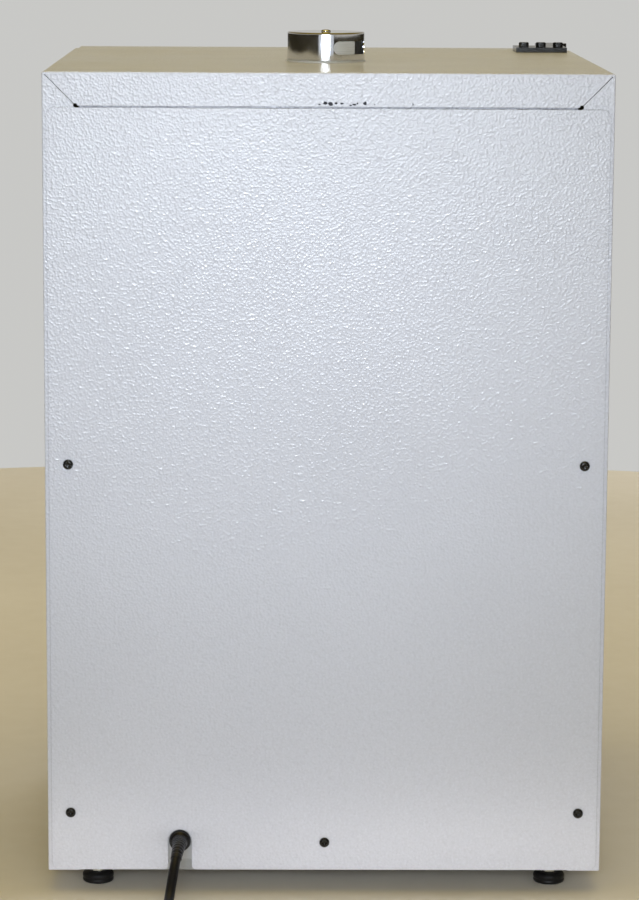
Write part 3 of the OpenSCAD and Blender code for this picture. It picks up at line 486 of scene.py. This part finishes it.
def enamel(name, colour, peel=540, depth=0.42 * MM, gloss=(0.20, 0.26)):
    """Baked enamel: an orange-peel skin, faint clouding, painted shade over the peel's cells, painted glints
    as fine light flecks, and painted shade in seams and gaps.
    """
    look = Look(name, Coat_Weight=0.30, Coat_Roughness=0.42)
    clouds = look.ramp(look.noise(6, 3), (0.35, shade(colour, 0.98)), (0.65, shade(colour, 1.015)))
    cells = look.cells(peel)
    glint_fleck_noise = look.noise(peel * 0.95, 1)
    # Painted shade: the colour darkens over the peel's cells, standing in for the light and shade of the
    # relief.
    skin = look.blend(look.mapped(cells, 0, 0.34, 0.30, 0.75), clouds, shade(colour, 0.84))
    # Painted glints: light flecks in the colour.
    with_painted_glints = look.blend(look.mapped(glint_fleck_noise, 0, 0.34, 0.50, 0.72), skin, shade(colour, 1.14))
    # Painted shade: the colour darkens toward near black in seams, gaps and corners narrower than the reach.
    painted_seam_shade = look.mapped(look.openness(3.5 * MM), 0.9, 0, 0.20, 0.78)
    look.colour(look.blend(painted_seam_shade, with_painted_glints, shade(colour, 0.10)))
    look.rough(look.mapped(look.noise(9, 3), *gloss, 0.3, 0.7))
    look.bump(look.noise(30, 2), 0.08 * MM)
    look.bump(look.math("MULTIPLY", cells, cells), depth)
    look.bump(look.noise(peel * 1.25, 1), depth * 0.30)
    look.links.new(look.last_normal, look.shader.inputs["Coat Normal"])
    return look.material


def zinc_sheet(name, colour, per_metre=70):
    """Galvanised sheet with its crystal spangle."""
    look = Look(name, metallic=0.85)
    spangle = look.cells(per_metre, "F1", "Color")
    tone = look.ramp(spangle, (0.1, shade(colour, 0.78)), (0.5, colour), (0.9, shade(colour, 1.2)))
    dull = look.mapped(look.noise(25, 4), 0, 0.5, 0.45, 0.75)
    look.colour(look.blend(dull, tone, shade(colour, 0.62)))
    look.rough(look.mapped(look.noise(300, 3), 0.34, 0.56, 0.3, 0.7))
    look.bump(look.noise(500, 3), 0.02 * MM)
    return look.material


def brushed(name, colour, stretch=(14, 900, 900), gloss=(0.24, 0.42), metallic=1.0):
    """Brushed metal: long fine scratches across one axis."""
    look = Look(name, metallic=metallic)
    lines = look.noise(1.0, 5, stretch=stretch)
    wide = look.noise(12, 3)
    tone = look.ramp(lines, (0.3, shade(colour, 0.82)), (0.7, shade(colour, 1.12)))
    look.colour(look.blend(look.mapped(wide, 0, 0.35, 0.45, 0.75), tone, shade(colour, 0.74)))
    look.rough(look.mapped(lines, *gloss, 0.3, 0.7))
    look.bump(lines, 0.012 * MM)
    return look.material


def plated(name, colour, gloss=(0.05, 0.16)):
    """Bright plating with the faint wear and smears of handling."""
    look = Look(name, metallic=1.0)
    smears = look.noise(45, 4, distortion=0.6)
    look.colour(look.ramp(smears, (0.3, shade(colour, 0.90)), (0.7, shade(colour, 1.06))))
    look.rough(look.mapped(smears, *gloss, 0.35, 0.72))
    look.bump(look.noise(90, 3), 0.012 * MM)
    look.bump(look.noise(1400, 2), 0.002 * MM)
    return look.material


def moulded(name, colour, gloss=(0.34, 0.52), texture=900, depth=0.012 * MM, wear=0.35, metallic=0.0,
            **sockets):
    """Moulded plastic or rubber: a fine matt texture, scuffs and a little dust."""
    look = Look(name, metallic=metallic, **sockets)
    scuffs = look.noise(38, 5, distortion=0.4)
    pale = tuple(min(1.0, c + 0.012) for c in colour)
    tone = look.ramp(look.noise(260, 3), (0.3, shade(colour, 0.80)), (0.7, shade(colour, 1.15)))
    look.colour(look.blend(look.mapped(scuffs, 0, wear, 0.55, 0.80), tone, pale))
    look.rough(look.mapped(scuffs, *gloss, 0.3, 0.7))
    look.bump(look.noise(texture, 3), depth)
    return look.material


def glass_wool(name, colour):
    """Glass-fibre blanket: crossing fibres over soft lumps, with painted shade where it is shut in."""
    look = Look(name, roughness=0.9, Sheen_Weight=0.3, Sheen_Roughness=0.6)
    fibres = [look.noise(1.0, 3, stretch=(45, 1300, 1300), turn=(0, 0, turn)) for turn in (12, 63, 128)]
    crossed = look.math("MAXIMUM", fibres[0], look.math("MAXIMUM", fibres[1], fibres[2]))
    lumps = look.noise(28, 4)
    tone = look.ramp(crossed, (0.45, shade(colour, 0.62)), (0.75, shade(colour, 1.08)))
    clean = look.blend(look.mapped(lumps, 0, 0.5, 0.4, 0.7), tone, shade(colour, 0.8))
    # Painted shade: the wool's colour goes nearly black where nearby surfaces close it in.
    dark = look.mapped(look.openness(60 * MM), 0.96, 0.25, 0.25, 0.85)
    look.colour(look.blend(dark, clean, shade(colour, 0.04)))
    look.bump(lumps, 2.0 * MM)
    look.bump(crossed, 0.5 * MM)
    return look.material


def clear_glass(name, colour):
    look = Look(name, IOR=1.5, Transmission_Weight=1.0)
    smears = look.noise(9, 5, distortion=0.8)
    look.colour(look.ramp(smears, (0.3, colour), (0.8, shade(colour, 0.97))))
    look.rough(look.mapped(smears, 0.0, 0.05, 0.5, 0.8))
    return look.material


def signal_lens(name, colour):
    look = Look(name, IOR=1.46, Transmission_Weight=0.75)
    flecks = look.noise(700, 2)
    look.colour(look.ramp(flecks, (0.3, shade(colour, 0.85)), (0.7, shade(colour, 1.1))))
    look.rough(look.mapped(flecks, 0.08, 0.22, 0.3, 0.7))
    look.bump(look.cells(420), 0.25 * MM)
    return look.material


def turned_disc(name, colour, centre):
    """Aluminium with fine rings about an axis along Y."""
    look = Look(name, metallic=1.0)
    parts = look.nodes.new("ShaderNodeSeparateXYZ")
    look.links.new(look.coordinates, parts.inputs[0])
    across = look.math("SUBTRACT", parts.outputs["X"], centre[0])
    above = look.math("SUBTRACT", parts.outputs["Z"], centre[1])
    squares = look.math("ADD", look.math("MULTIPLY", across, across), look.math("MULTIPLY", above, above))
    rings = look.nodes.new("ShaderNodeTexNoise")
    rings.noise_dimensions = "1D"
    rings.inputs["Scale"].default_value = 3200
    rings.inputs["Detail"].default_value = 3
    look.links.new(look.math("SQRT", squares), rings.inputs["W"])
    look.colour(look.ramp(rings.outputs["Fac"], (0.3, shade(colour, 0.85)), (0.7, shade(colour, 1.08))))
    look.rough(look.mapped(rings.outputs["Fac"], 0.22, 0.38, 0.3, 0.7))
    look.bump(rings.outputs["Fac"], 0.01 * MM)
    return look.material


dial_low, dial_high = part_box("temperature_dial")
KNOB_CENTRE = ((dial_low.x + dial_high.x) / 2, (dial_low.z + dial_high.z) / 2)
MATERIALS = {
    "cabinet_paint": enamel("cabinet_enamel", (0.58, 0.60, 0.69)),
    "galvanised_steel": zinc_sheet("galvanised_sheet", (0.55, 0.57, 0.60)),
    "stainless": brushed("brushed_stainless", (0.62, 0.62, 0.62)),
    "chrome": plated("bright_chrome", (0.78, 0.78, 0.80)),
    "black_steel": moulded("black_enamel", (0.006, 0.006, 0.007), gloss=(0.12, 0.24), depth=0.02 * MM,
                           wear=0.10),
    "zinc_screws": plated("zinc_plate", (0.60, 0.60, 0.58), gloss=(0.18, 0.36)),
    "breaker_plastic": moulded("cream_plastic", (0.72, 0.70, 0.62), gloss=(0.36, 0.5)),
    "fibreglass": glass_wool("glass_wool", (0.66, 0.52, 0.20)),
    "heater_sheath": plated("heater_sheath", (0.16, 0.14, 0.13), gloss=(0.42, 0.62)),
    "silicone_seal": moulded("white_silicone", (0.66, 0.66, 0.63), gloss=(0.4, 0.6)),
    "grey_seal": moulded("grey_vinyl", (0.16, 0.16, 0.17), gloss=(0.42, 0.6)),
    "black_plastic": moulded("black_plastic", (0.006, 0.006, 0.007), gloss=(0.20, 0.36), wear=0.12,
                             Specular_IOR_Level=0.35),
    "panel_paint": enamel("panel_enamel", (0.060, 0.066, 0.085), peel=650, depth=0.10 * MM),
    "dial_aluminium": turned_disc("turned_aluminium", (0.78, 0.78, 0.79), KNOB_CENTRE),
    "copper": plated("copper", (0.62, 0.28, 0.15), gloss=(0.22, 0.42)),
    "amber_lens": signal_lens("amber_lens", (0.95, 0.28, 0.02)),
    "terminal_plastic": moulded("terminal_plastic", (0.66, 0.58, 0.42)),
    "wire_insulation": moulded("wire_sleeve", (0.018, 0.018, 0.018), gloss=(0.3, 0.45)),
    "sleeve_aluminium": brushed("sleeve_aluminium", (0.62, 0.63, 0.64), stretch=(40, 40, 1400),
                                gloss=(0.45, 0.6), metallic=0.3),
    "cord_jacket": moulded("lead_jacket", (0.004, 0.004, 0.005), gloss=(0.26, 0.40), wear=0.10,
                           Specular_IOR_Level=0.3),
    "foot_rubber": moulded("foot_rubber", (0.006, 0.006, 0.007), gloss=(0.32, 0.5), wear=0.2,
                           Specular_IOR_Level=0.35),
    "brass": plated("brass", (0.80, 0.58, 0.26), gloss=(0.14, 0.30)),
    "nylon": moulded("nylon", (0.74, 0.73, 0.68), gloss=(0.32, 0.48)),
    "clear_glass": clear_glass("clear_glass", (0.93, 0.985, 0.965)),
}


def material_of(node):
    return MATERIALS[SLOT_OF[node]]


for node, obj in frame["nodes"].items():
    obj.data.materials.clear()
    obj.data.materials.append(material_of(node))

install(lead, material_of("power_cord"), "power_cord", "cord_coil")
install(plug, material_of("plug_body"), "plug_body")
attach(tie, moulded("tie_vinyl", (0.05, 0.05, 0.055), gloss=(0.5, 0.7)), "cord_coil")


# ---- Sheet metal and machined pieces: the CAD shapes with their edges rounded ----

FOLD_PLANES = (shell_low.y, shell_high.y)
FLANGE_DEEP = 1.2 * MM                       # the top flange's face, in front of the rear panel's
FLANGE_EDGE = TOP - 27 * MM


def near(value, target, slack=0.1 * MM):
    return abs(value - target) < slack


def outer_fold(edge):
    """The cabinet's outside corners at its rear and front, where the sheet is bent."""
    ends = edge.verts
    faces_in_plane = any(all(near(v.co.y, y) for v in ends) for y in FOLD_PLANES)
    outside = all(abs(v.co.x) > SIDE - 3 * MM or v.co.z > TOP - 3 * MM for v in ends)
    return faces_in_plane and outside


def cabinet_skin():
    """The folded shell, with its outside corners and its other long edges rounded."""
    bm = from_cad("cabinet_shell")
    soften(bm, 1.5 * MM, 4, chosen=outer_fold)
    soften(bm, 0.22 * MM, 2, angle=60, shortest=4 * MM)
    return as_object("cabinet_skin", bm)


install(cabinet_skin(), material_of("cabinet_shell"), "cabinet_shell")

# Node: rounding in millimetres, steps, and the shortest edge that is rounded
ROUNDED = {
    "rear_panel": (0.30, 2, 0.3), "base_pan": (0.25, 2, 3), "front_rail": (0.25, 2, 3),
    "face_frame": (0.40, 2, 3), "chamber_liner": (0.20, 2, 3), "diffuser_plate": (0.20, 2, 3),
    "heater_brackets": (0.15, 1, 3), "control_panel": (0.25, 2, 2), "door_skin": (1.0, 3, 6),
    "door_liner": (0.25, 2, 3), "top_hinge_plate": (0.45, 2, 0.2), "bottom_hinge_bracket": (0.45, 2, 0.2),
    "glass_pane": (0.60, 3, 0.1), "glass_hinge_leaves": (0.20, 1, 2), "glass_hinge_brackets": (0.20, 1, 2),
    "magnetic_catch": (0.40, 2, 1), "thermostat": (0.50, 2, 3), "terminal_block": (0.35, 2, 1),
    "switch_bezel": (0.35, 2, 1), "power_switch": (0.30, 2, 3), "plug_blades": (0.25, 2, 0.5),
    "foot_nuts": (0.35, 2, 3), "top_hinge_screws": (0.25, 2, 0.8), "bottom_hinge_screws": (0.25, 2, 0.8),
    "shelf_rack_left": (0.15, 1, 3), "shelf_rack_right": (0.15, 1, 3), "vent_collar": (0.18, 1, 1.5),
    "glass_gasket": (0.80, 3, 1), "door_gasket": (0.45, 2, 1), "door_bushings": (0.25, 2, 0.2),
    "temperature_dial": (0.25, 2, 0.2), "vent_cap": (0.22, 2, 0.3), "vent_tube": (0.20, 1, 0.3),
}
SMOOTH_ONLY = [
    "heating_element", "wiring_harness", "thermostat_bulb", "shelf_upper", "shelf_lower", "door_handle",
    "door_handle_screws", "rear_panel_screws", "face_frame_screws", "control_panel_screws",
    "vent_cap_screw", "glass_knob", "pilot_lamp_bezel", "pilot_lamp_lens", "temperature_knob"]

for node, (width, steps, shortest) in ROUNDED.items():
    bm = from_cad(node)
    soften(bm, width * MM, steps, shortest=shortest * MM)
    install(as_object(node + "_shaped", bm), material_of(node), node)
for node in SMOOTH_ONLY:
    install(as_object(node + "_turned", from_cad(node), crease=48), material_of(node), node)


# ---- Insulation ----

DENT_DEEP, DENT_WIDE = 22 * MM, 34 * MM


def blanket(node, name, slack=0.0, dents=(), voxel=7 * MM):
    """A glass-fibre batt that fills its place loosely, with soft edges and an uneven surface."""
    solid = as_object(name + "_solid", from_cad(node), flat=True)
    remesh = solid.modifiers.new("voxels", "REMESH")
    remesh.mode = "VOXEL"
    remesh.voxel_size = voxel
    mesh = bpy.data.meshes.new_from_object(solid.evaluated_get(bpy.context.evaluated_depsgraph_get()))
    bpy.data.objects.remove(solid)
    bm = bmesh.new()
    bm.from_mesh(mesh)
    bpy.data.meshes.remove(mesh)
    bmesh.ops.smooth_vert(bm, verts=bm.verts, factor=0.5, use_axis_x=True, use_axis_y=True, use_axis_z=True)
    bm.normal_update()
    for v, normal in [(v, v.normal.copy()) for v in bm.verts]:
        lump = noise.noise(v.co * 24) + 0.5 * noise.noise(v.co * 70)
        v.co -= normal * MM * max(0.6, 2.6 + 2.0 * lump)
        if normal.y > 0.7:
            v.co.y -= slack
            for x, z in dents:
                away = math.hypot(v.co.x - x, v.co.z - z)
                v.co.y -= DENT_DEEP * (1 - smooth_step(away / DENT_WIDE))
    return as_object(name, bm, crease=180)


# The batt is pressed in behind the relief holes at the ends of the rear slit
relief_holes = [(side * (SIDE - 26.7 * MM), FLANGE_EDGE) for side in (-1, 1)]
install(blanket("insulation", "insulation_batt", slack=5 * MM, dents=relief_holes),
        material_of("insulation"), "insulation")
install(blanket("door_insulation", "door_batt"), material_of("door_insulation"), "door_insulation")


# ---- Feet and strain relief ----

STUD_R, THREAD_DEPTH, THREAD_PITCH = 4 * MM, 0.5 * MM, 1.25 * MM


def threaded_stud(bm, x, y, low, high, sides=24):
    """A rod with a helical thread and a chamfered tip."""
    step = THREAD_PITCH / 5
    count = int((high - low) / step)
    rings = []
    for k in range(count + 1):
        z = low + (high - low) * k / count
        ring = []
        for j in range(sides):
            phase = (z / THREAD_PITCH - j / sides) % 1.0
            radius = STUD_R - THREAD_DEPTH * abs(2 * phase - 1)
            radius = min(radius, STUD_R - 1.0 * MM + (high - z))
            angle = 2 * math.pi * j / sides
            ring.append(bm.verts.new((x + radius * math.cos(angle), y + radius * math.sin(angle), z)))
        rings.append(ring)
    bridge(bm, rings)


FOOT_PROFILE = [(0, 0), (11.4, 0), (12.6, 0.7), (13, 2.4), (12.6, 3.2), (12.6, 3.8), (13, 4.7), (13, 6.6),
                (12.2, 7.9), (9.4, 8.9), (8, 9.2), (0, 9.2)]
NUT_LOW, NUT_HIGH, NUT_R = 9.2 * MM, 13.6 * MM, 7.4 * MM


def make_foot(node):
    """A rubber-soled pad, its steel jam nut and its threaded stud."""
    low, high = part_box(node)
    x, y = (low.x + high.x) / 2, (low.y + high.y) / 2
    bm = bmesh.new()
    lathe(bm, [(r * MM, h * MM) for r, h in rounded(FOOT_PROFILE, 0.5, 3)], (x, y, 0), sides=72)
    install(as_object(node + "_pad", bm, crease=35), material_of(node), node)
    bm = bmesh.new()
    chamfer = 0.6 * MM
    lathe(bm, [(0, NUT_LOW), (NUT_R - chamfer, NUT_LOW), (NUT_R, NUT_LOW + chamfer),
               (NUT_R, NUT_HIGH - chamfer), (NUT_R - chamfer, NUT_HIGH), (0, NUT_HIGH)], (x, y, 0), sides=6)
    attach(as_object(node + "_nut", bm, crease=20), MATERIALS["zinc_screws"], node)
    bm = bmesh.new()
    threaded_stud(bm, x, y, NUT_HIGH - 0.2 * MM, high.z)
    attach(as_object(node + "_stud", bm, crease=60), MATERIALS["zinc_screws"], node)


for end in ("rear_left", "rear_right", "front_left", "front_right"):
    make_foot("foot_" + end)


def make_relief():
    """The flanged bushing that grips the lead where it leaves the base."""
    low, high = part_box("strain_relief")
    bm = bmesh.new()
    profile = [(0, -14), (6.3, -14), (7.8, -7), (7.8, -2.5), (8.9, -2.4), (8.95, 1.1), (8.1, 2.7), (6.7, 3.9),
               (5.9, 5.6), (5.6, 9), (0, 9)]
    lathe(bm, [(r * MM, h * MM) for r, h in rounded(profile, 0.9, 4)],
          ((low.x + high.x) / 2, REAR, (low.z + high.z) / 2), axis="Y", sides=64)
    return as_object("relief_bushing", bm, crease=50)


def make_sleeve():
    """The bushing's tapered, grooved sleeve along the lead."""
    along = [lead_points[0] - Vector((0, 4 * MM, 0))] + lead_points[:5]
    path = resampled(along, 0.5 * MM)
    radii = []
    for k in range(len(path)):
        share = k / (len(path) - 1)
        groove = 0.55 if (k % 7) in (4, 5) and 0.2 < share < 0.93 else 0.0
        radii.append((5.75 - 1.15 * share - groove * (1 - 0.5 * share)) * MM)
    radii[-1] -= 0.3 * MM
    bm = bmesh.new()
    tube(bm, path, None, sides=28, radii=radii)
    return as_object("relief_sleeve", bm, crease=50)


install(make_relief(), material_of("strain_relief"), "strain_relief")
attach(make_sleeve(), material_of("strain_relief"), "strain_relief")


# ---- Dial marks ----

TICKS, TICK_STEP, LONG_TICK = 31, 10, 5      # one mark for each ten degrees of the knob's turn
TICK_IN, TICK_OUT, TICK_LONG = 25.2 * MM, 28.2 * MM, 30.4 * MM
THIN, THICK = 0.26 * MM, 0.42 * MM           # half the width of a short and a long mark
POINTER_HALF, POINTER_IN, POINTER_OUT = 0.66 * MM, 3.1 * MM, 13.3 * MM


def make_ticks():
    """Printed marks round the dial, long at every fifth, clockwise from the top."""
    bm = bmesh.new()
    for k in range(TICKS):
        angle = math.radians(TICK_STEP * k)
        out = Vector((math.sin(angle), 0, math.cos(angle)))
        across = Vector((math.cos(angle), 0, -math.sin(angle)))
        far, half = (TICK_OUT, THIN) if k % LONG_TICK else (TICK_LONG, THICK)
        rings = []
        for depth in (0.05 * MM, -0.03 * MM):
            centre = Vector((KNOB_CENTRE[0], dial_low.y + depth, KNOB_CENTRE[1]))
            rings.append([bm.verts.new(centre + reach * out + side * across)
                          for reach, side in ((TICK_IN, half), (TICK_IN, -half), (far, -half), (far, half))])
        bridge(bm, rings)
    return as_object("dial_marks", bm, crease=30)


def make_pointer():
    """The white line set in the groove of the knob's face."""
    low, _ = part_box("temperature_knob")
    bm = bmesh.new()
    block(bm, (KNOB_CENTRE[0] - POINTER_HALF, low.y + 0.12 * MM, KNOB_CENTRE[1] + POINTER_IN),
          (KNOB_CENTRE[0] + POINTER_HALF, low.y + 0.62 * MM, KNOB_CENTRE[1] + POINTER_OUT))
    soften(bm, 0.1 * MM, 2)
    return as_object("knob_pointer", bm, crease=50)


attach(make_ticks(), moulded("mark_ink", (0.012, 0.012, 0.014), gloss=(0.4, 0.6)), "temperature_dial")
attach(make_pointer(), moulded("pointer_white", (0.74, 0.74, 0.72), gloss=(0.35, 0.5)), "temperature_knob")


# ---- Worn places ----

# Flakes lost from the top flange's lower edge: sideways and up from its middle, width and height, mm
FLAKES = [(7.4, 1.6, 2.4, 1.6), (2.6, 2.6, 4.6, 3.2), (-1.4, 2.2, 4.8, 3.6), (-5.8, 2.6, 3.2, 2.0),
          (-10.4, 2.4, 3.4, 2.2), (-17.6, 1.1, 2.6, 1.4), (-20.4, 1.6, 4.4, 2.0), (-22.8, 2.6, 1.8, 1.8),
          (-29.0, 2.6, 3.6, 3.4), (-36.6, 1.8, 1.2, 1.0), (-67.0, 2.4, 1.2, 3.0)]


def make_flakes():
    """Thin irregular patches of bare, darkened steel."""
    random.seed(11)
    bm = bmesh.new()
    for x, up, across, tall in FLAKES:
        middle = Vector((x * MM, REAR - FLANGE_DEEP, FLANGE_EDGE + up * MM))
        rings = [[], []]
        count = 14
        for k in range(count):
            angle = 2 * math.pi * k / count
            reach = random.uniform(0.62, 1.0)
            offset = (reach * across / 2 * math.cos(angle) * MM, reach * tall / 2 * math.sin(angle) * MM)
            for ring, out in zip(rings, (-0.10 * MM, 0.03 * MM)):
                ring.append(bm.verts.new(middle + Vector((offset[0], out, offset[1]))))
        bridge(bm, rings)
    return as_object("bare_flakes", bm, crease=30)


attach(make_flakes(), moulded("bare_steel", (0.02, 0.02, 0.026), gloss=(0.35, 0.6), metallic=0.6),
       "cabinet_shell")


# ---- Floor and light ----

FLOOR_R = 1.9
STUDIO_CENTRE = (0, 0.1, 0)
FLAG_REACH = 152                    # degrees each way from straight behind the cabinet
FLAG_TOP = 0.78
FLAG_STEPS = 24                     # each way


def make_floor():
    """A round pale table top."""
    bm = bmesh.new()
    lathe(bm, rounded([(0, -0.04), (FLOOR_R, -0.04), (FLOOR_R, 0), (0, 0)], 0.01), STUDIO_CENTRE, sides=192)
    floor = as_object("floor", bm, flat=True)
    look = Look("floor_pale", roughness=0.6)
    look.colour(look.ramp(look.noise(3, 4), (0.3, (0.63, 0.595, 0.525)), (0.7, (0.67, 0.635, 0.565))))
    look.rough(look.mapped(look.noise(40, 3), 0.5, 0.7, 0.3, 0.7))
    floor.data.materials.append(look.material)


def make_flag():
    """A dark studio flag on the rear side, seen only in reflections, that gives the chrome its contrast."""
    bm = bmesh.new()
    cx, cy, _ = STUDIO_CENTRE
    rows = []
    for k in range(2 * FLAG_STEPS + 1):
        angle = math.radians(90 + FLAG_REACH * (k / FLAG_STEPS - 1))
        at = (cx + FLOOR_R * math.cos(angle), cy + FLOOR_R * math.sin(angle))
        rows.append([bm.verts.new((*at, z)) for z in (0.002, FLAG_TOP)])
    for first, second in zip(rows, rows[1:]):
        bm.faces.new((first[0], second[0], second[1], first[1]))
    flag = as_object("flag", bm, flat=True)
    look = Look("flag_black", roughness=0.9)
    look.colour(look.ramp(look.noise(30, 2), (0.3, (0.020, 0.018, 0.012)), (0.7, (0.032, 0.029, 0.020))))
    flag.data.materials.append(look.material)
    flag.visible_camera = flag.visible_diffuse = flag.visible_shadow = flag.visible_transmission = False


def area_light(name, place, target, size, power, colour, seen=True, spread=180):
    """A soft rectangular light aimed at target; seen says whether reflections show it."""
    data = bpy.data.lights.new(name, "AREA")
    data.spread = math.radians(spread)
    data.shape = "RECTANGLE"
    data.size, data.size_y = size
    data.energy = power
    data.color = colour
    light = bpy.data.objects.new(name, data)
    bpy.context.scene.collection.objects.link(light)
    light.location = place
    light.rotation_mode = "QUATERNION"
    light.rotation_quaternion = (Vector(target) - Vector(place)).to_track_quat("-Z", "Y")
    light.visible_camera = False
    light.visible_glossy = seen


def make_lights():
    """Soft boxes round the object, and the cards that its chrome reflects."""
    area_light("key", (0.14, REAR + 2.70, 1.14), (0.06, REAR, 0.46), (0.60, 0.44), 0.69, (0.84, 0.91, 1.0),
               spread=22)
    area_light("bounce", (0, REAR + 0.08, 0.026), (0, REAR, 0.038), (0.60, 0.02), 0.12, (1.0, 0.96, 0.92),
               seen=False)
    area_light("card", (0.03, 1.84, 0.61), (0.03, REAR, 0.61), (0.72, 0.28), 5.4, (0.80, 0.90, 1.0))
    area_light("card_edge", (0.10, 1.86, 0.61), (0.10, REAR, 0.61), (1.70, 0.28), 1.0, (0.86, 0.92, 1.0))
    area_light("cap_card", (0.0, 1.84, 0.36), (0, 0, 0.40), (1.15, 0.26), 1.6, (0.97, 0.99, 1.0))
    area_light("overhead", (0.1, 0.1, 2.6), (0, 0, 0), (2.2, 2.2), 20, (1.0, 0.78, 0.22))
    area_light("left_fill", (2.4, -0.5, 1.3), (0, 0, 0.35), (1.4, 1.6), 11, (1.0, 0.97, 0.90), seen=False)
    area_light("right_fill", (-2.4, -0.6, 1.4), (0, 0, 0.35), (1.4, 1.6), 8, (0.95, 0.97, 1.0), seen=False)
    area_light("front_fill", (-0.6, -2.8, 1.6), (0, 0, 0.35), (1.8, 1.4), 36, (0.95, 0.96, 1.0), seen=False)


def make_world():
    """A pale wall all round under a dim, warm ceiling."""
    world = bpy.data.worlds.new("studio")
    world.use_nodes = True
    nodes, links = world.node_tree.nodes, world.node_tree.links
    parts = nodes.new("ShaderNodeSeparateXYZ")
    links.new(nodes.new("ShaderNodeTexCoord").outputs["Generated"], parts.inputs[0])
    ramp = nodes.new("ShaderNodeValToRGB")
    for element, position, colour in zip(ramp.color_ramp.elements, (0.0, 0.35),
                                         ((0.58, 0.58, 0.565), (0.17, 0.125, 0.03))):
        element.position = position
        element.color = (*colour, 1)
    links.new(parts.outputs["Z"], ramp.inputs["Fac"])
    links.new(ramp.outputs["Color"], nodes["Background"].inputs["Color"])
    bpy.context.scene.world = world


make_floor()
make_flag()
make_lights()
make_world()
